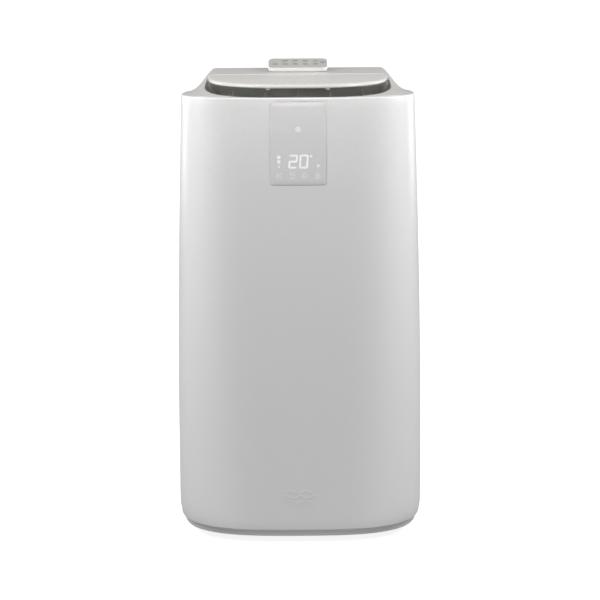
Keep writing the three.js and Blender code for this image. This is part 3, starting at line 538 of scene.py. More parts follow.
def skin(rings, caps=True, loop=False):
    """Vertices and faces through rings with the same count; loop joins the last ring to the first."""
    count = len(rings[0])
    verts = [tuple(point) for ring in rings for point in ring]
    faces = []
    steps = len(rings) if loop else len(rings) - 1
    for level in range(steps):
        low = level * count
        high = ((level + 1) % len(rings)) * count
        for side in range(count):
            after = (side + 1) % count
            faces.append((low + side, low + after, high + after, high + side))
    if caps and not loop:
        faces.append(tuple(reversed(range(count))))
        faces.append(tuple((len(rings) - 1) * count + side for side in range(count)))
    return verts, faces


def merge(*parts):
    """Several (verts, faces) lists as one."""
    verts, faces = [], []
    for more_verts, more_faces in parts:
        shift = len(verts)
        verts += list(more_verts)
        faces += [tuple(shift + index for index in face) for face in more_faces]
    return verts, faces


def spread_evenly(points, count, closed=False):
    """The same line with its points at equal steps."""
    points = np.asarray(points)
    if closed:
        points = np.vstack([points, points[:1]])
    lengths = np.concatenate([[0], np.cumsum(np.linalg.norm(np.diff(points, axis=0), axis=1))])
    stops = np.linspace(0, lengths[-1], count, endpoint=not closed)
    return np.stack([np.interp(stops, lengths, points[:, axis]) for axis in range(points.shape[1])], axis=1)


# %% [markdown]
# ## The body's plan outline
# Seen from above the body is a superellipse: rounder at the foot, squarer at the lip, and slightly narrower there.
# One formula gives the outline at every height, so the covers, grilles, panel and grips all lie on the same skin.

# %% Plan outline
HALF_WIDTH = cad_high[0]
HALF_DEPTH = cad_high[1] - 0.0004
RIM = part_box("front_cover")[1][2]
COVER_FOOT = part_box("front_cover")[0][2]
TAPER_START = 0.2
TOP_NARROWING = 0.0115
TOP_SHALLOWING = 0.004
SQUARENESS = (3.1, 4.6)
FOOT_TUCK = 0.003
TUCK_HEIGHT = 0.024
WALL = 0.003
SEAM_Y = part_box("front_cover")[1][1]
SEAM_GAP = 0.0006


RIM_FALL = 0.014


def rim_z(y):
    """The lip is level round the front, and falls towards the back behind the seam."""
    return RIM - RIM_FALL * max(0.0, y - SEAM_Y) / (HALF_DEPTH - SEAM_Y)


def plan(z):
    taper = max(0.0, (z - TAPER_START) / (RIM - TAPER_START)) ** 1.5
    climb = (z - COVER_FOOT) / (RIM - COVER_FOOT)
    squareness = SQUARENESS[0] + (SQUARENESS[1] - SQUARENESS[0]) * climb
    tuck = FOOT_TUCK * max(0.0, 1 - (z - COVER_FOOT) / TUCK_HEIGHT) ** 2
    return HALF_WIDTH - TOP_NARROWING * taper - tuck, HALF_DEPTH - TOP_SHALLOWING * taper, squareness


def superellipse(a, b, n, angles):
    across, along = np.cos(angles), np.sin(angles)
    x = a * np.sign(across) * np.abs(across) ** (2 / n)
    y = b * np.sign(along) * np.abs(along) ** (2 / n)
    return np.stack([x, y], axis=1)


def skin_y(x, z, inset=0.0):
    """How far the skin lies from the middle, to the front or the back, at one x and height."""
    a, b, n = plan(z)
    return (b - inset) * max(0.0, 1 - abs(x / (a - inset)) ** n) ** (1 / n)


def skin_x(y, z, inset=0.0):
    a, b, n = plan(z)
    return (a - inset) * max(0.0, 1 - abs(y / (b - inset)) ** n) ** (1 / n)


def outline_between(z, inset, count, seam_y, front):
    """The plan outline from seam to seam, round the front or the back."""
    a, b, n = plan(z)
    a, b = a - inset, b - inset
    start = math.asin((abs(seam_y) / b) ** (n / 2)) * (-1 if seam_y < 0 else 1)
    angles = np.linspace(start, -math.pi - start, 1500) if front else np.linspace(start, math.pi - start, 1500)
    flat = spread_evenly(superellipse(a, b, n, angles), count)
    share = (z - COVER_FOOT) / (RIM - COVER_FOOT)
    return [(x, y, COVER_FOOT + share * (rim_z(y) - COVER_FOOT)) for x, y in flat]


# %% [markdown]
# ## Front and rear covers
# Two injection-moulded shells, three millimetres thick, meet at an upright seam down each side. Each wall profile
# has a small round at the foot and at the lip, because a moulded edge is never sharp and that round is what
# catches the light. The profile is carried round the outline from seam to seam.

# %% Cover shells
def wall_profile(foot, lip, thickness, round_by, levels):
    """(inset, height) pairs round a wall's cross-section: up the outside, over the lip, down the inside."""
    quarter = [math.radians(angle) for angle in (0, 22.5, 45, 67.5, 90)]
    outside = [(round_by * (1 - math.sin(t)), foot + round_by * (1 - math.cos(t))) for t in quarter]
    outside += [(0.0, foot + (lip - foot) * step / levels) for step in range(1, levels)]
    outside += [(round_by * (1 - math.cos(t)), lip - round_by * (1 - math.sin(t))) for t in quarter]
    inner = [(thickness - round_by * (1 - math.sin(t)), lip - round_by * (1 - math.cos(t))) for t in quarter]
    inner += [(thickness, foot + (lip - foot) * step / levels) for step in range(levels - 1, 0, -1)]
    return outside + inner + [(thickness, foot + 0.0004), (round_by + 0.0004, foot)]


def cover_shell(seam_y, front, count, levels=44):
    rings = [
        outline_between(height, inset, count, seam_y, front)
        for inset, height in wall_profile(COVER_FOOT, RIM, WALL, 0.0014, levels)
    ]
    count = len(rings[0])
    verts = [point for ring in rings for point in ring]
    faces = []
    for level in range(len(rings)):
        low, high = level * count, ((level + 1) % len(rings)) * count
        faces += [(low + i, low + i + 1, high + i + 1, high + i) for i in range(count - 1)]
    faces.append(tuple(level * count for level in range(len(rings))))
    faces.append(tuple(level * count + count - 1 for level in reversed(range(len(rings)))))
    return verts, faces


def cutter(name, verts, faces):
    mesh = bpy.data.meshes.new(name)
    mesh.from_pydata([tuple(v) for v in verts], [], faces)
    clean = bmesh.new()
    clean.from_mesh(mesh)
    bmesh.ops.recalc_face_normals(clean, faces=clean.faces)
    clean.to_mesh(mesh)
    clean.free()
    tool = bpy.data.objects.new(name, mesh)
    bpy.context.scene.collection.objects.link(tool)
    return tool


def cut_away(piece, verts, faces):
    """Cuts a closed shape out of a piece for good, then throws the tool away."""
    tool = cutter("tool", verts, faces)
    change = piece.modifiers.new("cut", "BOOLEAN")
    change.operation = "DIFFERENCE"
    change.solver = "EXACT"
    change.object = tool
    graph = bpy.context.evaluated_depsgraph_get()
    result = bpy.data.meshes.new_from_object(piece.evaluated_get(graph))
    piece.modifiers.remove(change)
    old = piece.data
    piece.data = result
    result.name = piece.name
    bpy.data.objects.remove(tool)
    bpy.data.meshes.remove(old)
    piece.data.set_sharp_from_angle(angle=math.radians(35))


def rounded_rect(width, height, corner, steps=8, middle=(0.0, 0.0)):
    """Points round a rectangle with round corners, counter-clockwise."""
    points = []
    for turn, (sx, sy) in enumerate(((1, 1), (-1, 1), (-1, -1), (1, -1))):
        for step in range(steps + 1):
            angle = (turn + step / steps) * math.pi / 2
            x = middle[0] + sx * (width / 2 - corner) + corner * math.cos(angle)
            y = middle[1] + sy * (height / 2 - corner) + corner * math.sin(angle)
            points.append((x, y))
    return points


def circle(radius, middle=(0.0, 0.0), steps=64):
    turns = [2 * math.pi * step / steps for step in range(steps)]
    return [(middle[0] + radius * math.cos(t), middle[1] + radius * math.sin(t)) for t in turns]


def prism_y(outline, y0, y1):
    return skin([[(x, y, z) for x, z in outline] for y in (y0, y1)])


def prism_z(outline, z0, z1):
    return skin([[(x, y, z) for x, y in outline] for z in (z0, z1)])


front_cover = add_piece("front_cover_shell", *cover_shell(SEAM_Y, True, 200), white_plastic, ["front_cover"])
rear_skin = cover_shell(SEAM_Y + SEAM_GAP, False, 260)
rear_cover = add_piece("rear_cover_shell", *rear_skin, silver_plastic, ["rear_cover"])
print("cover shells", len(front_cover.data.polygons), "and", len(rear_cover.data.polygons), "faces")

# %% [markdown]
# ## Touch panel
# The panel is a thin film set flush into a shallow pocket near the lip. Only a hairline joint shows, darker where
# it lies in shade. The film follows the cover's curve, so each of its points takes its depth from the body's skin.

# %% Panel and its pocket
panel_low, panel_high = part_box("control_panel")
PANEL_MIDDLE = ((panel_low[0] + panel_high[0]) / 2, (panel_low[2] + panel_high[2]) / 2)
PANEL_SIZE = (panel_high[0] - panel_low[0], panel_high[2] - panel_low[2])
PANEL_CORNER = 0.0055
JOINT = 0.0007


def front_patch(outline, middle, profile):
    """A plate on the front skin: profile holds (shrink, lift) pairs from its back edge to its face."""
    rings = []
    for shrink, lift in profile:
        ring = []
        for x, z in outline:
            reach = math.hypot(x - middle[0], z - middle[1])
            scale = max(0.0, 1 - shrink / reach)
            px, pz = middle[0] + (x - middle[0]) * scale, middle[1] + (z - middle[1]) * scale
            ring.append((px, -skin_y(px, pz) - lift, pz))
        rings.append(ring)
    return skin(rings)


panel_outline = rounded_rect(*PANEL_SIZE, PANEL_CORNER, middle=PANEL_MIDDLE)
pocket = rounded_rect(PANEL_SIZE[0] + 2 * JOINT, PANEL_SIZE[1] + 2 * JOINT, PANEL_CORNER + JOINT, middle=PANEL_MIDDLE)
pocket_floor = [(x, -skin_y(x, z) + 0.0016, z) for x, z in pocket]
pocket_mouth = [(x, -skin_y(x, z) - 0.01, z) for x, z in pocket]
cut_away(front_cover, *skin([pocket_floor, pocket_mouth]))
inward = [0.01, 0.02, 0.03, 0.04]
panel_profile = [(0.0, -0.0012), (0.0, -0.0003), (0.0001, -0.0001), (0.0004, 0.0)]
panel_profile += [(step, 0.0) for step in inward]
add_piece(
    "touch_panel", *front_patch(panel_outline, PANEL_MIDDLE, panel_profile), panel_film, ["control_panel"]
)
print("touch panel", round(PANEL_SIZE[0] * 1000, 1), "x", round(PANEL_SIZE[1] * 1000, 1), "mm")

# %% [markdown]
# ## Marks on the panel
# The marks are thin raised prints. A stroke is a flat band along a drawn line with round ends, laid on the skin;
# digits, waves and small signs are all made of strokes. Only a temperature and plain signs are shown.

# %% Strokes on the front skin
PRINT_LIFT = 0.00012


def on_front(x, z, lift):
    return (x, -skin_y(x, z) - lift, z)


def stroke(points, width, lift=PRINT_LIFT, closed=False, place=on_front, step=0.0008):
    """A flat band along a line of (x, z) points, with round ends."""
    line = np.asarray(points, dtype=float)
    length = np.linalg.norm(np.diff(line, axis=0), axis=1).sum()
    count = max(4, int(length / step))
    line = spread_evenly(line, count, closed)
    ahead = np.roll(line, -1, axis=0) - np.roll(line, 1, axis=0)
    if not closed:
        ahead[0], ahead[-1] = line[1] - line[0], line[-1] - line[-2]
    ahead /= np.linalg.norm(ahead, axis=1)[:, None]
    half = np.full(len(line), width / 2)
    if not closed:
        cap = [math.cos(angle) for angle in (1.45, 1.1, 0.7)]
        reach = [width / 2 * math.sin(angle) for angle in (1.45, 1.1, 0.7)]
        first = [line[0] - ahead[0] * r for r in reach]
        last = [line[-1] + ahead[-1] * r for r in reversed(reach)]
        line = np.vstack([first, line, last])
        ahead = np.vstack([[ahead[0]] * 3, ahead, [ahead[-1]] * 3])
        half = np.concatenate([[width / 2 * c for c in cap], half, [width / 2 * c for c in reversed(cap)]])
    side = np.stack([-ahead[:, 1], ahead[:, 0]], axis=1)
    rings = []
    for point, across, reach in zip(line, side, half):
        left, right = point + across * reach, point - across * reach
        ring = [place(*left, -0.0002), place(*left, lift), place(*right, lift), place(*right, -0.0002)]
        rings.append(ring)
    return skin(rings, caps=not closed, loop=closed)


def dot(middle, radius, lift=PRINT_LIFT):
    return front_patch(circle(radius, middle, 28), middle, [(0.0, -0.0002), (0.0, lift)])


def arc(middle, radius, start, stop, steps=20):
    turns = [math.radians(start + (stop - start) * step / steps) for step in range(steps + 1)]
    return [(middle[0] + radius * math.cos(t), middle[1] + radius * math.sin(t)) for t in turns]


# %% Digits and signs
DIGIT_WIDTH = 0.0112
DIGIT_HEIGHT = 0.0192
DIGIT_LEAN = 0.06
DIGIT_LINE = 0.0023
SEGMENTS = {
    "top": ((0, 1), (1, 1)),
    "middle": ((0, 0.5), (1, 0.5)),
    "bottom": ((0, 0), (1, 0)),
    "upper_left": ((0, 0.5), (0, 1)),
    "upper_right": ((1, 0.5), (1, 1)),
    "lower_left": ((0, 0), (0, 0.5)),
    "lower_right": ((1, 0), (1, 0.5)),
}
LIT = {
    2: ("top", "upper_right", "middle", "lower_left", "bottom"),
    0: ("top", "upper_left", "upper_right", "lower_left", "lower_right", "bottom"),
}


def digit(value, left, foot):
    """A seven-segment numeral whose lit segments stop a little short of each other."""
    strokes = []
    for name in LIT[value]:
        ends = [np.array(end, dtype=float) for end in SEGMENTS[name]]
        middle = (ends[0] + ends[1]) / 2
        line = []
        for end in ends:
            spot = middle + (end - middle) * 0.84
            x, z = spot * (DIGIT_WIDTH, DIGIT_HEIGHT)
            line.append((left + x + DIGIT_LEAN * z, foot + z))
        strokes.append(stroke(line, DIGIT_LINE))
    return strokes


DIGIT_FOOT = panel_low[2] + 0.0277
bright_marks = digit(2, -0.0142, DIGIT_FOOT) + digit(0, 0.0028, DIGIT_FOOT)
bright_marks.append(dot((0.0206, DIGIT_FOOT + DIGIT_HEIGHT - 0.0012), 0.0017))
for height, radius in ((0.0441, 0.0026), (0.0369, 0.0024), (0.0292, 0.0015)):
    bright_marks.append(dot((-0.0306, panel_low[2] + height), radius))
triangle_z = panel_low[2] + 0.0305
triangle = [(0.0298, triangle_z + 0.0026), (0.0298, triangle_z - 0.0026), (0.0346, triangle_z)]
bright_marks.append(front_patch(triangle, (0.0315, triangle_z), [(0.0, -0.0002), (0.0, PRINT_LIFT)]))


SIGN_LINE = 0.0009


def ring_sign(x, z):
    """Four corner ticks round a dot: swing."""
    marks = [dot((x, z), 0.0013)]
    for start in (20, 110, 200, 290):
        marks.append(stroke(arc((x, z), 0.0043, start, start + 50), 0.0011))
    return marks


def sweep_sign(x, z):
    """Two bent lines over a straight one: timer of the air stream."""
    bent = [(x - 0.004, z + 0.003), (x - 0.001, z + 0.0008), (x + 0.0035, z - 0.0012)]
    curl = arc((x + 0.0002, z + 0.0012), 0.0034, 150, -20)
    line = [(x - 0.004, z - 0.0042), (x + 0.003, z - 0.0042)]
    return [stroke(bent, SIGN_LINE), stroke(curl, SIGN_LINE), stroke(line, SIGN_LINE)]


def moon_sign(x, z):
    """A crescent in a ring: night."""
    ring = stroke(arc((x, z), 0.0042, 0, 360)[:-1], 0.0008, closed=True)
    return [ring, stroke(arc((x + 0.0012, z), 0.0026, 110, 250), SIGN_LINE)]


def drop_sign(x, z):
    """A drop over a line: drying."""
    drop = [(x, z + 0.0046)] + arc((x, z), 0.0028, 30, -210) + [(x, z + 0.0046)]
    line = [(x - 0.005, z - 0.0048), (x + 0.005, z - 0.0048)]
    return [stroke(drop, 0.001), dot((x, z), 0.0011), stroke(line, SIGN_LINE)]


SIGN_Z = panel_low[2] + 0.0149
faint_marks = []
for sign_of, x in ((ring_sign, -0.0308), (sweep_sign, -0.0094), (moon_sign, 0.01), (drop_sign, 0.0303)):
    faint_marks += sign_of(x, SIGN_Z)
faint_marks.append(dot((0.0, panel_low[2] + 0.0881), 0.0046, lift=0.0002))
add_piece("panel_numerals", *merge(*bright_marks), bright_ink, ["control_panel"], body="casing")
add_piece("panel_signs", *merge(*faint_marks), faint_ink, ["control_panel"], body="casing")
print("panel marks", len(bright_marks) + len(faint_marks))

# %% [markdown]
# ## Airflow emblem
# Near the foot of the cover a plain moulded emblem stands a third of a millimetre proud: three waves of air, the
# middle one longest. It is the same plastic as the cover, so only its edges show.

# %% Emblem
EMBLEM_Z = 0.0765
WAVE_HEIGHT = 0.0022
WAVE_PITCH = 0.0078


def wave(x0, x1, z, turns):
    steps = 60
    return [
        (x0 + (x1 - x0) * step / steps, z + WAVE_HEIGHT * math.sin(2 * math.pi * turns * step / steps))
        for step in range(steps + 1)
    ]


waves = [
    stroke(wave(-half, half, EMBLEM_Z + row * WAVE_PITCH, half / 0.012), 0.0022, lift=0.00035)
    for row, half in ((-1, 0.021), (0, 0.03), (1, 0.021))
]
add_piece("air_wave_emblem", *merge(*waves), white_plastic, ["front_cover"], body="casing")
print("emblem", len(waves), "waves")

# %% [markdown]
# ## Deck and outlet
# The warm grey collar closes the top. It falls from a sloping deck to the lip in an S-shaped shoulder at each side,
# and dips into the air outlet. Its skin is drawn along straight lines that fan out from the middle of the outlet:
# each line runs from the skirt over the shoulder to the outlet's edge and down the funnel, and back underneath.

# %% Deck surface
DECK_RISE = 0.027
DECK_BACK = 0.145
DECK_FRONT = -0.2
DECK_ROLL = 0.05
SHOULDER = 0.049
SKIRT_DROP = 0.03
hinge = next(joint for joint in frame["joints"] if joint["name"] == "flap_hinge")
HINGE_Y, HINGE_Z = hinge["pos_m"][1], hinge["pos_m"][2]
THROAT_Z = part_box("outlet_duct")[1][2] + 0.0003
LIP_HALF_WIDTH = plan(RIM)[0]
COLLAR_INSET = 0.0033
OUTLET_HALF_WIDTH = LIP_HALF_WIDTH - 0.038
OUTLET_FRONT = -plan(RIM)[1] + COLLAR_INSET + 0.0025
OUTLET_BACK = HINGE_Y + 0.008
THROAT_INSET = 0.0195


def deck_z(y):
    return RIM + DECK_RISE * (y - DECK_FRONT) / (DECK_BACK - DECK_FRONT)


def top_z(x, y):
    side = min(1.0, max(0.0, (LIP_HALF_WIDTH - abs(x)) / SHOULDER)) ** 1.3
    past = max(0.0, y - DECK_BACK) / DECK_ROLL
    roll = math.sqrt(max(0.0, 1 - past * past))
    low = rim_z(y)
    return low + (deck_z(min(y, DECK_BACK)) - low) * side * side * (3 - 2 * side) * roll


def d_outline(half_across, front, middle, back, n, corner=0.004, count=400):
    """Half a superellipse to the front, straight sides and a straight back with round corners."""
    curve = superellipse(half_across, middle - front, n, np.linspace(math.pi, 2 * math.pi, 900))
    curve[:, 1] += middle
    right = arc((half_across - corner, back - corner), corner, 0, 90, 6)
    left = arc((-half_across + corner, back - corner), corner, 90, 180, 6)
    return spread_evenly(np.vstack([curve, right, left]), count, closed=True)


FAN_MIDDLE = np.array([0.0, -0.055])
FAN_COUNT = 300


def fan_angles(points):
    away = points - FAN_MIDDLE
    return np.unwrap(np.arctan2(away[:, 1], away[:, 0]))


def meet_outline(outline, angles):
    """Where lines from the fan's middle at these angles meet an outline."""
    away = outline - FAN_MIDDLE
    bearings = np.arctan2(away[:, 1], away[:, 0])
    order = np.argsort(bearings)
    reach = np.linalg.norm(away, axis=1)[order]
    bearings = bearings[order]
    lengths = np.interp(angles, bearings, reach, period=2 * math.pi)
    return FAN_MIDDLE + np.stack([np.cos(angles), np.sin(angles)], axis=1) * lengths[:, None]


a_lip, b_lip, n_lip = plan(RIM)
edge = superellipse(a_lip - COLLAR_INSET, b_lip - COLLAR_INSET, n_lip, np.linspace(0, 2 * math.pi, 3000)[:-1])
edge = spread_evenly(edge, FAN_COUNT, closed=True)
angles = fan_angles(edge)
outlet = meet_outline(d_outline(OUTLET_HALF_WIDTH, OUTLET_FRONT, HINGE_Y - 0.06, OUTLET_BACK, 3.8), angles)
throat = meet_outline(
    d_outline(OUTLET_HALF_WIDTH - THROAT_INSET, OUTLET_FRONT + 0.012, HINGE_Y - 0.06, OUTLET_BACK - 0.024, 3.8), angles
)
span = np.linalg.norm(outlet - edge, axis=1)
inward = (outlet - edge) / span[:, None]
thickness = np.minimum(0.0025, 0.42 * span)
print("deck rises", round((deck_z(DECK_BACK) - RIM) * 1000, 1), "mm")
print("outlet", round(2000 * OUTLET_HALF_WIDTH), "mm wide")


# %% Collar skin
def deck_ring(share, drop=0.0, keep_in=0.0):
    """Points at one share of the way from the edge to the outlet, kept off both walls when seen from below."""
    shares = np.clip(share, keep_in * thickness / span, 1 - keep_in * thickness / span)
    flat = edge + (outlet - edge) * shares[:, None]
    return [(x, y, top_z(x, y) - drop) for x, y in flat]


def round_ring(shift, drop, from_outlet):
    """Points a short way in from the edge or the outlet, for the rounds there."""
    steps = np.minimum(shift, 0.3 * span)
    flat = outlet - inward * steps[:, None] if from_outlet else edge + inward * steps[:, None]
    return [(x, y, top_z(x, y) - drop) for x, y in flat]


def collar_rings():
    skirt = RIM - SKIRT_DROP
    shelf = RIM + 0.002
    rings = [[(x, y, skirt) for x, y in edge]]
    rings += [round_ring(0.0, 0.0012, False), round_ring(0.0004, 0.0004, False), round_ring(0.0012, 0.0, False)]
    shares = [0.06 + 0.88 * step / 30 for step in range(31)]
    rings += [deck_ring(share) for share in shares]
    rings += [round_ring(0.0018, 0.0, True), round_ring(0.0006, 0.0005, True), round_ring(0.0, 0.0018, True)]
    brim = [(x, y, min(top_z(x, y) - 0.003, shelf)) for x, y in outlet]
    rings.append(brim)
    falls = [0.2, 0.45, 0.7, 0.9, 1.0]
    walls = []
    for fall in falls:
        flat = outlet + (throat - outlet) * fall
        walls.append([(x, y, b[2] + (THROAT_Z - b[2]) * fall) for (x, y), b in zip(flat, brim)])
    rings += walls
    for wall in [*reversed(walls), brim]:
        rings.append([(x - i[0] * t, y - i[1] * t, z) for (x, y, z), i, t in zip(wall, inward, thickness)])
    rings += [deck_ring(share, drop=0.0028, keep_in=1.0) for share in reversed(shares)]
    flat = edge + inward * thickness[:, None]
    rings.append([(x, y, top_z(x, y) - 0.0032) for x, y in flat])
    rings.append([(x, y, skirt) for x, y in flat])
    return rings


add_piece("deck_and_outlet", *skin(collar_rings(), loop=True), deck_plastic, ["top_collar"], sharp=50)

# %% [markdown]
# ## Outlet flap
# The flap is a flat D-shaped plate with a generous round along its top edge, which shows as a bright line. It
# stands a few degrees open on its hinge pin, as the frame says. Two lugs below carry it, and two small bumpers
# stop it from clapping shut.

# %% Flap
flap_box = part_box("outlet_flap")
FLAP_REST = 4.5
FLAP_THICKNESS = 0.006
FLAP_FRONT = OUTLET_FRONT + 0.002
FLAP_HALF_WIDTH = flap_box[1][0]
FLAP_ROUND = 0.0042
FLAP_UNDER_ROUND = 0.0012
to_flap = (
    Matrix.Translation((0, HINGE_Y, HINGE_Z))
    @ Matrix.Rotation(math.radians(-FLAP_REST), 4, "X")
    @ Matrix.Translation((0, -HINGE_Y, -HINGE_Z))
)


def flap_ring(shrink, drop):
    back = HINGE_Y - shrink
    outline = d_outline(FLAP_HALF_WIDTH - shrink, FLAP_FRONT + shrink, back - 0.015, back, 2.6, 0.002, 280)
    return [tuple(to_flap @ Vector((x, y, deck_z(y) - drop))) for x, y in outline]


def flap_shape():
    turns = [math.radians(angle) for angle in (0, 18, 36, 54, 72, 90)]
    under = FLAP_UNDER_ROUND
    bottom = [(under * (1 - math.sin(t)), FLAP_THICKNESS - under * (1 - math.cos(t))) for t in turns]
    top = [(FLAP_ROUND * (1 - math.cos(t)), FLAP_ROUND * (1 - math.sin(t))) for t in turns]
    inner = [(shrink, 0.0) for shrink in (0.008, 0.016, 0.03, 0.055, 0.085)]
    below = [(shrink, FLAP_THICKNESS) for shrink in (0.085, 0.055, 0.03, 0.012)]
    return skin([flap_ring(*step) for step in below + bottom + top + inner])


def flap_lug(side):
    middle = side * (FLAP_HALF_WIDTH - 0.03)
    round_part = arc((HINGE_Y, HINGE_Z), 0.0046, -180, 0, 12)
    outline = round_part + [(HINGE_Y, deck_z(HINGE_Y) - 0.004), (HINGE_Y - 0.0046, deck_z(HINGE_Y) - 0.004)]
    rings = [[tuple(to_flap @ Vector((x, y, z))) for y, z in outline] for x in (middle - 0.003, middle + 0.003)]
    return skin(rings)


# The flap's pigment is painted lighter than the deck's, as painted light that makes up for the light it lacks.
add_piece("tilting_flap", *merge(flap_shape(), flap_lug(-1), flap_lug(1)), flap_plastic_painted_lighter, ["outlet_flap"])


def bumper(node_name):
    low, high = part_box(node_name)
    middle = ((low[0] + high[0]) / 2, (low[1] + high[1]) / 2)
    radius = (high[0] - low[0]) / 2
    profile = [(0.0, 0.0012), (0.0, 0.0004), (0.25, -0.0001), (0.6, -0.0005), (0.85, -0.0007)]
    rings = []
    for shrink, lift in profile:
        rings.append([(x, y, low[2] + 0.0006 + lift) for x, y in circle(radius * (1 - shrink), middle, 32)])
    return add_piece(node_name.replace("pad", "bumper"), *skin(rings), white_plastic, [node_name])


for pad in ("flap_pad_left", "flap_pad_right"):
    bumper(pad)
print("flap", round(2000 * FLAP_HALF_WIDTH), "mm wide, open", FLAP_REST, "degrees")

# %% [markdown]
# ## Louvres
# Under the flap five upright vanes steer the air left and right. Each is a thin blade with rounded edges on a pin,
# and a bar links them.

# %% Louvres
def louvre(node_name):
    """One vane on its pin, with the crank pin that the link bar drives."""
    low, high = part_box(node_name)
    x, y = (low[0] + high[0]) / 2, (low[1] + high[1]) / 2
    half = (high[1] - low[1]) / 2
    blade = superellipse(0.0008, half, 4, np.linspace(0, 2 * math.pi, 41)[:-1])
    foot = low[2] + 0.0117
    rings = []
    for z, scale in ((foot, 1.0), (high[2] - 0.004, 1.0), (high[2] - 0.001, 0.98), (high[2], 0.93)):
        rings.append([(x + bx * scale, y + by * scale, z) for bx, by in blade])
    pivot = prism_z(circle(0.002, (x, y), 20), low[2] + 0.001, foot + 0.001)
    crank = prism_z(circle(0.002, (x, y - 0.022), 20), low[2], foot + 0.001)
    # The vane's pale pigment is partly painted light that brightens the shaded pit.
    add_piece(node_name.replace("louvre", "vane"), *merge(skin(rings), pivot, crank), duct_plastic_painted_lighter, [node_name])


vanes = sorted(name for name in nodes if name.startswith("louvre_") and name != "louvre_link")
for vane in vanes:
    louvre(vane)
print(len(vanes), "louvres")

# %% [markdown]
# ## Foot
# A dark tray closes the machine below, set in from the cover by a few millimetres so that the cover seems to
# float on a shadow line. Four round wells are cut into it from below for the casters.

# %% Foot tray
FOOT_INSET = 0.005
FOOT_LOW, FOOT_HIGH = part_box("base_tray")[0][2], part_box("base_tray")[1][2]
WELL_RADIUS = 0.034
WELL_TOP = 0.048
swivels = [joint["pos_m"] for joint in frame["joints"] if joint["name"].endswith("_swivel")]


def foot_ring(inset, z):
    a, b, n = plan(COVER_FOOT)
    curve = superellipse(a - inset, b - inset, n, np.linspace(0, 2 * math.pi, 2000)[:-1])
    return [(x, y, z) for x, y in spread_evenly(curve, 220, closed=True)]


foot = [(0.0024, 0.0), (0.0009, 0.0006), (0.0002, 0.0015), (0.0, 0.003)]
foot_rings = [foot_ring(FOOT_INSET + inset, FOOT_LOW + lift) for inset, lift in foot]
foot_rings.append(foot_ring(FOOT_INSET, FOOT_HIGH))
# The tray's pale pigment is painted light: the real moulding is dark grey, and it is lightened against the shade it
# sits in.
foot_tray = add_piece("foot_tray", *skin(foot_rings), foot_plastic_painted_lighter, ["base_tray"])
cut_away(foot_tray, *merge(*[prism_z(circle(WELL_RADIUS, (x, y), 48), 0, WELL_TOP) for x, y, _ in swivels]))
print("foot tray with", len(swivels), "wells")

# %% [markdown]
# ## Remote control
# A slim handset lies on a tilted rest at the back of the deck, so its keys face the user. Its case is white, with
# a grey plate let into it and soft grey keys that stand half a millimetre proud. Each key ends above the pocket's
# floor by more than its travel, so a pressed key doesn't cut into the case.

# %% Remote frame of reference
REMOTE_TILT = math.radians(17)
REMOTE_THICKNESS = 0.0067
REMOTE_CORNER = 0.009
case_low, case_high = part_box("remote_case")
REMOTE_WIDTH = case_high[0] - case_low[0]
REMOTE_DEPTH = (case_high[1] - case_low[1] - REMOTE_THICKNESS * math.sin(REMOTE_TILT)) / math.cos(REMOTE_TILT)
to_remote = Matrix.Translation((0, case_low[1] + REMOTE_THICKNESS * math.sin(REMOTE_TILT), case_low[2])) @ (
    Matrix.Rotation(REMOTE_TILT, 4, "X")
)
from_remote = to_remote.inverted()


def slab(outline, middle, profile):
    """A plate in the remote's own axes: profile holds (shrink, height) pairs from its back to its face."""
    rings = []
    for shrink, height in profile:
        ring = []
        for x, y in outline:
            reach = math.hypot(x - middle[0], y - middle[1])
            scale = max(0.02, 1 - shrink / reach)
            spot = Vector((middle[0] + (x - middle[0]) * scale, middle[1] + (y - middle[1]) * scale, height))
            ring.append(tuple(to_remote @ spot))
        rings.append(ring)
    return skin(rings)


# %% Case, plate and keys
remote_middle = (0.0, REMOTE_DEPTH / 2)
case_outline = rounded_rect(REMOTE_WIDTH, REMOTE_DEPTH, REMOTE_CORNER, 10, remote_middle)
case_profile = [(0.0016, 0.0), (0.0005, 0.0003), (0.0, 0.0014), (0.0, REMOTE_THICKNESS - 0.0009)]
case_profile += [(0.0002, REMOTE_THICKNESS - 0.0003), (0.0007, REMOTE_THICKNESS), (0.0011, REMOTE_THICKNESS)]
case_profile += [(0.0012, REMOTE_THICKNESS - 0.0014)]
add_piece("handset_case", *slab(case_outline, remote_middle, case_profile), white_plastic, ["remote_case"])

plate_outline = rounded_rect(REMOTE_WIDTH - 0.0027, REMOTE_DEPTH - 0.0027, REMOTE_CORNER - 0.0013, 10, remote_middle)
plate_profile = [(0.0, REMOTE_THICKNESS - 0.0013), (0.0, REMOTE_THICKNESS - 0.0003), (0.0003, REMOTE_THICKNESS)]
plate = add_piece("handset_plate", *slab(plate_outline, remote_middle, plate_profile), remote_plate, ["remote_face"])

key_names = sorted(name for name in nodes if name.startswith("key_"))
KEY_SIZE = (0.0084, 0.0066)
KEY_CORNER = 0.002
key_tools = []
for name in key_names:
    low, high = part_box(name)
    centre = from_remote @ ((Vector(low) + Vector(high)) / 2)
    spot = (centre.x, centre.y + 0.0001)
    outline = circle(0.0046, spot, 40) if name == "key_power" else rounded_rect(*KEY_SIZE, KEY_CORNER, 6, spot)
    top = REMOTE_THICKNESS + 0.0005
    cap = [(0.0, REMOTE_THICKNESS - 0.0007), (0.0, top - 0.0004), (0.0001, top - 0.0001), (0.0005, top)]
    add_piece(name.replace("key", "button"), *slab(outline, spot, cap), key_rubber, [name])
    key_tools.append(slab(outline, spot, [(-0.00025, 0.004), (-0.00025, 0.009)]))
cut_away(plate, *merge(*key_tools))
print(len(key_names), "keys on the remote")

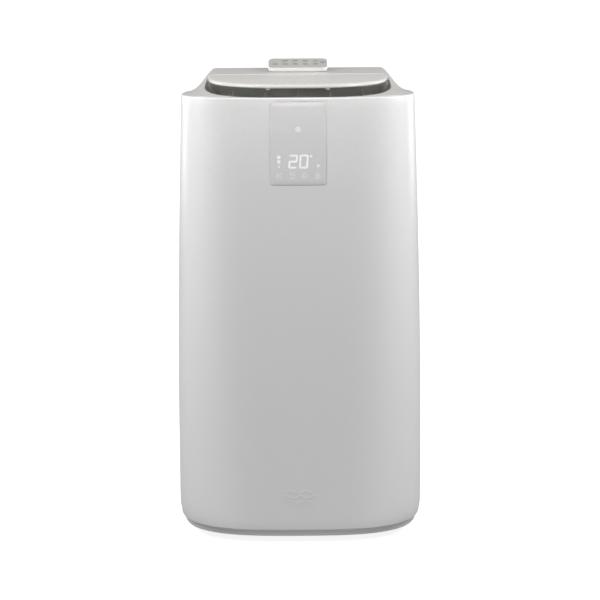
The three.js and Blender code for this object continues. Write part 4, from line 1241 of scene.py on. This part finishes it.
# %% [markdown]
# ## Openings in the rear cover
# The rear cover needs holes for air, the hose, the filter, the grips, the drain and the mains lead. Each hole is
# cut from the finished shell with a closed tool, so the wall keeps its true thickness and every hole gets sides.

# %% Cut the rear cover
SLACK = 0.0006


def middle_of(node_name):
    low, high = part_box(node_name)
    return (np.array(low) + np.array(high)) / 2


def size_of(node_name):
    low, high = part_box(node_name)
    return np.array(high) - np.array(low)


def window_outline(node_name, grow=0.0):
    """The outline of a grille, seen from behind."""
    middle, size = middle_of(node_name), size_of(node_name)
    return rounded_rect(size[0] + 2 * grow, size[2] + 2 * grow, 0.006, 6, (middle[0], middle[2]))


def prism_x(outline, x0, x1):
    return skin([[(x, y, z) for y, z in outline] for x in (x0, x1)])


GRILLES = ("intake_grille", "condenser_grille")
BACK_START = 0.17
grip_middle = middle_of("handle_right")[1:]
GRIP_WIDTH, GRIP_HEIGHT = size_of("handle_right")[1:]
GRIP_CORNER = 0.014
grip_hole = rounded_rect(GRIP_WIDTH + SLACK, GRIP_HEIGHT + SLACK, GRIP_CORNER, 8, grip_middle)
filter_low, filter_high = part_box("filter_cassette")
exhaust = middle_of("exhaust_collar")
flange_radius = size_of("exhaust_collar")[0] / 2
drain, gland = middle_of("drain_plug"), middle_of("cord_gland")
drain_radius, gland_radius = size_of("drain_plug")[0] / 2, size_of("cord_gland")[0] / 2

tools = [prism_y(window_outline(name, 0.0003), BACK_START, 0.3) for name in GRILLES]
tools.append(prism_y(circle(flange_radius + SLACK, (0, exhaust[2]), 96), BACK_START, 0.3))
for spot, radius in ((drain, drain_radius + SLACK), (gland, gland_radius + 0.0003)):
    tools.append(prism_y(circle(radius, (spot[0], spot[2]), 40), 0.1, 0.3))
for start, stop in ((0.12, 0.3), (-0.3, -0.12)):
    tools.append(prism_x(grip_hole, start, stop))
slot_depth = (filter_high[1] - filter_low[1]) / 2 + SLACK
slot_middle = (filter_high[1] + filter_low[1]) / 2
slot_low, slot_high = filter_low[2] - SLACK, filter_high[2] + SLACK
slot_outline = rounded_rect(2 * slot_depth, slot_high - slot_low, 0.002, 4, (slot_middle, (slot_low + slot_high) / 2))
tools.append(prism_x(slot_outline, 0.135, 0.3))
cut_away(rear_cover, *merge(*tools))
print(len(tools), "openings,", len(rear_cover.data.polygons), "faces")

# %% [markdown]
# ## Grilles
# Each grille is a frame filled with slanted slats that follow the bulge of the back, held by upright bars. Slats
# let air in and keep fingers and rain of dust out. One slat is a small rounded section swept along the skin, and
# a loop repeats it up the window.

# %% Grille
SLAT_PITCH = 0.0084
SLAT_THICKNESS = 0.0022
SLAT_DEPTH = 0.0075
SLAT_FALL = 0.0022
FRAME_BAND = 0.008


def slat(half_width, z, section, steps=36):
    rings = []
    for step in range(steps + 1):
        x = -half_width + 2 * half_width * step / steps
        rings.append([(x, skin_y(x, z) - depth, z + height) for depth, height in section])
    return skin(rings)


def slat_section():
    """(depth, height) pairs round a slat that leans down towards the outside, with round ends."""
    half = SLAT_THICKNESS / 2
    turns = (0.0, 0.8, 1.6, 2.4, 3.14)
    outer = [(0.0006 + half - half * math.sin(t), -SLAT_FALL / 2 + half * math.cos(t)) for t in turns]
    inner = [(SLAT_DEPTH - half + half * math.sin(t), SLAT_FALL / 2 - half * math.cos(t)) for t in turns]
    return outer + inner


def grille_frame(node_name):
    """A border that follows the skin, with a round outer edge."""
    profile = [(0.0, 0.003), (0.0, 0.0006), (0.0005, 0.0001), (0.0012, 0.0), (FRAME_BAND - 0.001, 0.0)]
    profile += [(FRAME_BAND, 0.0008), (FRAME_BAND, 0.0065), (FRAME_BAND - 0.002, 0.0065), (0.002, 0.003)]
    middle, size = middle_of(node_name), size_of(node_name)
    rings = []
    for inset, depth in profile:
        flat = rounded_rect(size[0] - 2 * inset, size[2] - 2 * inset, max(0.001, 0.006 - inset * 0.6), 6)
        flat = spread_evenly(flat, 160, closed=True) + (middle[0], middle[2])
        rings.append([(x, skin_y(x, z) - depth, z) for x, z in flat])
    return skin(rings, loop=True)


def upright(x, low, high, steps=14):
    rings = []
    for step in range(steps + 1):
        z = low + (high - low) * step / steps
        face = skin_y(x, z) - 0.0022
        near, far = x - 0.0016, x + 0.0016
        rings.append([(near, face, z), (far, face, z), (far, face - 0.006, z), (near, face - 0.006, z)])
    return skin(rings)


def grille(node_name):
    low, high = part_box(node_name)
    inner_low, inner_high = low[2] + FRAME_BAND, high[2] - FRAME_BAND
    half_width = high[0] - FRAME_BAND + 0.001
    count = int((inner_high - inner_low) / SLAT_PITCH)
    section = slat_section()
    parts = [grille_frame(node_name)]
    for row in range(count):
        z = (inner_low + inner_high) / 2 + (row - (count - 1) / 2) * SLAT_PITCH
        parts.append(slat(half_width, z, section))
    for column in range(-2, 3):
        parts.append(upright(column * half_width / 3 * 1.02, inner_low - 0.001, inner_high + 0.001))
    add_piece(node_name.replace("grille", "slats"), *merge(*parts), silver_plastic, [node_name])
    print(node_name, count, "slats")


for name in GRILLES:
    grille(name)

# %% [markdown]
# ## Turned parts at the back
# The hose collar, the lead's gland and the drain plug are round. Each is a profile of radius and depth, turned
# about an axis that points to the back. Small rounds at the edges and real ribs make them look moulded.

# %% Turned profiles
def turned(profile, middle, steps=72, loop=True):
    """Rings of (radius, y) about an axis along Y."""
    rings = []
    for radius, y in profile:
        rings.append([(x, y, z) for x, z in circle(radius, (middle[0], middle[2]), steps)])
    return skin(rings, caps=not loop, loop=loop)


exhaust_low, exhaust_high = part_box("exhaust_collar")
BORE = flange_radius - 0.012
face = exhaust_high[1]
collar = [(BORE + 0.004, exhaust_low[1]), (BORE + 0.004, face - 0.022), (flange_radius, face - 0.022)]
collar += [(flange_radius, face - 0.0016), (flange_radius - 0.0005, face - 0.0005), (flange_radius - 0.0016, face)]
collar += [(BORE + 0.005, face), (BORE + 0.004, face - 0.0006)]
collar += [(BORE + 0.0036, face - 0.0035), (BORE + 0.0005, face - 0.004)]
collar += [(BORE, face - 0.0048), (BORE, exhaust_low[1])]
hose_collar = [turned(collar, exhaust, 96)]
for turn in range(4):
    start = turn * 90 + 20
    tab = arc((0, exhaust[2]), BORE + 0.001, start, start + 24, 8)
    tab += arc((0, exhaust[2]), BORE - 0.004, start + 24, start, 8)
    hose_collar.append(prism_y(tab, face - 0.0095, face - 0.0065))
add_piece("hose_collar", *merge(*hose_collar), silver_plastic, ["exhaust_collar"])

gland_low, gland_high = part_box("cord_gland")
tip = gland_high[1]
nut = [(gland_radius, gland_low[1]), (gland_radius, tip - 0.0075), (gland_radius - 0.0012, tip - 0.006)]
for rib in range(3):
    start = tip - 0.0058 + rib * 0.0018
    nut += [(0.0062, start), (0.0062, start + 0.0006), (0.007, start + 0.0009), (0.007, start + 0.0015)]
nut += [(0.0045, tip), (0.004, tip - 0.0006), (0.0035, tip - 0.008)]
add_piece("lead_gland", *turned(nut, gland, 48, loop=False), black_plastic, ["cord_gland"])

drain_low, drain_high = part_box("drain_plug")
end = drain_high[1]
plug = [(drain_radius - 0.001, drain_low[1]), (drain_radius, drain_low[1] + 0.001), (drain_radius, end - 0.0012)]
plug += [(drain_radius - 0.0004, end - 0.0003), (drain_radius - 0.0012, end), (drain_radius - 0.0022, end)]
plug += [(drain_radius - 0.0026, end - 0.0006), (0.001, end - 0.0006)]
drain_stopper = add_piece("drain_stopper", *turned(plug, drain, 48, loop=False), black_plastic, ["drain_plug"])
coin_slot = rounded_rect(0.0165, 0.0026, 0.0012, 4, (drain[0], drain[2]))
cut_away(drain_stopper, *prism_y(coin_slot, end - 0.004, end + 0.01))
print("hose collar bore", round(2000 * BORE), "mm")

# %% [markdown]
# ## Hand grips
# A cup is let into each side below the lip so that two hands can roll the machine. Its mouth follows the curve of
# the side, so the rings near the mouth take their x from the skin, and the deeper ones become flat.

# %% Grip cups
GRIP_WALL = 0.0025


def grip_ring(side, inset, depth, flat=0.0):
    """A ring at a depth below the skin; flat 1 puts it at one x, flat 0 follows the skin."""
    outline = rounded_rect(GRIP_WIDTH - 2 * inset, GRIP_HEIGHT - 2 * inset, GRIP_CORNER - 0.6 * inset, 10, grip_middle)
    centre = skin_x(grip_middle[0], grip_middle[1])
    return [(side * ((1 - flat) * skin_x(y, z) + flat * centre - depth), y, z) for y, z in outline]


def grip(node_name):
    low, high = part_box(node_name)
    side = 1 if high[0] > 0 else -1
    centre = skin_x(grip_middle[0], grip_middle[1])
    deepest = centre - min(abs(low[0]), abs(high[0]))
    inside = deepest - GRIP_WALL
    rings = [grip_ring(side, 0.004, deepest, 1.0), grip_ring(side, 0.0, deepest - 0.004, 1.0)]
    rings += [grip_ring(side, 0.0, 0.004), grip_ring(side, 0.0, 0.0008), grip_ring(side, 0.0003, 0.0003)]
    rings += [grip_ring(side, 0.001, 0.0), grip_ring(side, 0.0018, 0.0003), grip_ring(side, GRIP_WALL, 0.0013)]
    rings += [grip_ring(side, GRIP_WALL, 0.006), grip_ring(side, GRIP_WALL + 0.0004, inside - 0.006, 1.0)]
    rings += [grip_ring(side, GRIP_WALL + 0.0015, inside - 0.0022, 1.0), grip_ring(side, 0.007, inside, 1.0)]
    add_piece(node_name.replace("handle", "grip_cup"), *skin(rings), dark_plastic, [node_name])


for name in ("handle_right", "handle_left"):
    grip(name)
print("two hand grips", round(GRIP_WIDTH * 1000), "mm wide")

# %% [markdown]
# ## Filter cassette
# The dust filter slides out sideways in a thin frame. Its end is flush with the machine's side and follows that
# curve. The windows between its ribs hold a fine cloth.

# %% Cassette
def cassette():
    reach = 24
    rings = []
    for step in range(5):
        y = filter_low[1] + (filter_high[1] - filter_low[1]) * step / 4
        heights = [filter_low[2] + (filter_high[2] - filter_low[2]) * row / reach for row in range(reach + 1)]
        end_face = [(skin_x(y, z) - 0.0003, y, z) for z in heights]
        rings.append([(filter_low[0], y, filter_low[2]), *end_face, (filter_low[0], y, filter_high[2])])
    return skin(rings)


mesh_low, mesh_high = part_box("filter_mesh")
cassette_frame = add_piece("cassette_frame", *cassette(), silver_plastic, ["filter_cassette"])
CASSETTE_COLUMNS, CASSETTE_ROWS, RIB = 4, 2, 0.003
pane_width = (mesh_high[0] - mesh_low[0]) / CASSETTE_COLUMNS
pane_height = (mesh_high[2] - mesh_low[2]) / CASSETTE_ROWS
panes = []
for column in range(CASSETTE_COLUMNS):
    for row in range(CASSETTE_ROWS):
        centre = (mesh_low[0] + (column + 0.5) * pane_width, mesh_low[2] + (row + 0.5) * pane_height)
        outline = rounded_rect(pane_width - RIB, pane_height - RIB, 0.003, 4, centre)
        panes.append(prism_y(outline, filter_low[1] - 0.01, filter_high[1] + 0.01))
cut_away(cassette_frame, *merge(*panes))
print("cassette with", len(panes), "panes")

# %% [markdown]
# ## Duct under the outlet
# The duct joins the fan's case to the outlet's throat. From above it is the dark inside of the outlet, so its wall
# is smooth, and the rail that carries the vanes crosses it. Its foot is almost a rectangle, which leaves room for
# the link bar when the vanes turn to their limit.

# %% Duct
duct_low, duct_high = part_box("outlet_duct")
rail_y = middle_of("louvre_3")[1]
link_low, link_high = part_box("louvre_link")
THROAT_HALF = OUTLET_HALF_WIDTH - THROAT_INSET
DUCT_WALL = 0.0025
DUCT_FOOT_SQUARENESS = 30


def duct_ring(grow, high):
    middle = (duct_low[1] + duct_high[1]) / 2
    if high:
        front, back = OUTLET_FRONT + 0.012 - grow, OUTLET_BACK - 0.024 + grow
        outline = d_outline(THROAT_HALF + grow, front, HINGE_Y - 0.06, back, 3.8, 0.003, 260)
        return [(x, y, duct_high[2]) for x, y in outline]
    front, back = -0.06 + DUCT_WALL - grow, 0.046 - DUCT_WALL + grow
    outline = d_outline(THROAT_HALF - DUCT_WALL + grow, front, -0.007, back, DUCT_FOOT_SQUARENESS, 0.003, 260)
    return [(x, y, duct_low[2]) for x, y in outline]


duct_stations = ((DUCT_WALL, False), (DUCT_WALL, True), (0, True), (0, False))
duct = skin([duct_ring(grow, high) for grow, high in duct_stations], loop=True)
rail_outline = rounded_rect(2 * THROAT_HALF - 0.001, 0.01, 0.0015, 4, (0, rail_y))
rail = prism_z(rail_outline, link_low[2] - 0.001, link_high[2] + 0.001)
# The duct wall's pale pigment is partly painted light that brightens the shaded pit under the flap.
add_piece("outlet_duct_wall", *merge(duct, rail), duct_plastic_painted_lighter, ["outlet_duct"])
print("duct from", round(duct_low[2], 3), "to", round(duct_high[2], 3))

# %% [markdown]
# ## Casters
# Four small twin-leg casters hide in the wells, and only the lower part of each wheel comes out. The tread is
# turned with a rounded edge and a sunken hub, and the fork's legs are rounded plates.

# %% Casters
def wheel(node_name):
    middle, size = middle_of(node_name), size_of(node_name)
    radius, half = size[2] / 2, size[0] / 2
    profile = [(0.0028, -half + 0.002), (0.0085, -half + 0.002), (0.0098, -half), (radius - 0.003, -half)]
    profile += [(radius - 0.0014, -half + 0.0006), (radius - 0.0004, -half + 0.002), (radius, -half + 0.0045)]
    profile += [(r, -x) for r, x in reversed(profile)]
    rings = []
    for r, x in profile:
        rings.append([(middle[0] + x, middle[1] + y, middle[2] + z) for y, z in circle(r, steps=56)])
    add_piece(node_name.replace("caster_wheel", "caster_tread"), *skin(rings, loop=True), wheel_rubber, [node_name])


def fork(node_name, place):
    x0, y0 = place[:2]
    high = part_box(node_name)[1]
    axle = middle_of(node_name.replace("fork", "wheel"))
    crown = 0.039
    plate = [(0.0125, crown), (0.014, crown + 0.0012), (0.014, crown + 0.0038), (0.0128, crown + 0.005)]
    plate += [(0.004, crown + 0.005), (0.004, high[2] - 0.0008), (0.0034, high[2])]
    rings = [[(x, y, z) for x, y in circle(radius, (x0, y0), 40)] for radius, z in plate]
    parts = [skin(rings)]
    round_end = arc((axle[1], axle[2]), 0.006, 20, -200, 14)
    leg = [(y0 - 0.0105, crown + 0.001), *reversed(round_end), (y0 + 0.0115, crown + 0.001)]
    for side in (-1, 1):
        outer, inner = x0 + side * 0.0115, x0 + side * 0.009
        parts.append(prism_x(leg, min(outer, inner), max(outer, inner)))
    rod = circle(0.0025, (axle[1], axle[2]), 20)
    parts.append(prism_x(rod, x0 - 0.0095, x0 + 0.0095))
    add_piece(node_name.replace("caster_fork", "caster_yoke"), *merge(*parts), dark_plastic, [node_name])


for number, place in enumerate(swivels, start=1):
    wheel(f"caster_wheel_{number}")
    fork(f"caster_fork_{number}", place)
print(len(swivels), "casters")

# %% [markdown]
# ## Parts that keep the frame's own shape
# The machinery inside and a few small parts stay as the frame gives them. They still get a finish and a small
# bevel, because a real edge always catches a little light. A list of finishes by slot does this in one loop.

# %% Finishes for the frame's own parts
finish_of_slot = {
    "dark_plastic": dark_plastic,
    "steel": steel,
    "fins": fins,
    "copper": copper,
    "black_paint": black_paint,
    "black_plastic": black_plastic,
    "control_casing": grey_casing,
    "filter_cloth": filter_cloth,
    "board": board_green,
}


def finish_frame_part(name):
    """The slot's finish, and edges rounded by a small bevel."""
    part = nodes[name]
    part.data.materials.clear()
    part.data.materials.append(finish_of_slot[slot_of_node[name]])
    smallest = min(part.dimensions)
    edge = part.modifiers.new("soft_edge", "BEVEL")
    edge.width = min(0.0008, 0.15 * smallest)
    edge.segments = 2
    edge.limit_method = "ANGLE"
    edge.angle_limit = math.radians(40)


kept = [name for name in nodes if not nodes[name].hide_render]
for name in kept:
    finish_frame_part(name)
print(len(kept), "frame parts finished:", ", ".join(sorted(kept)))
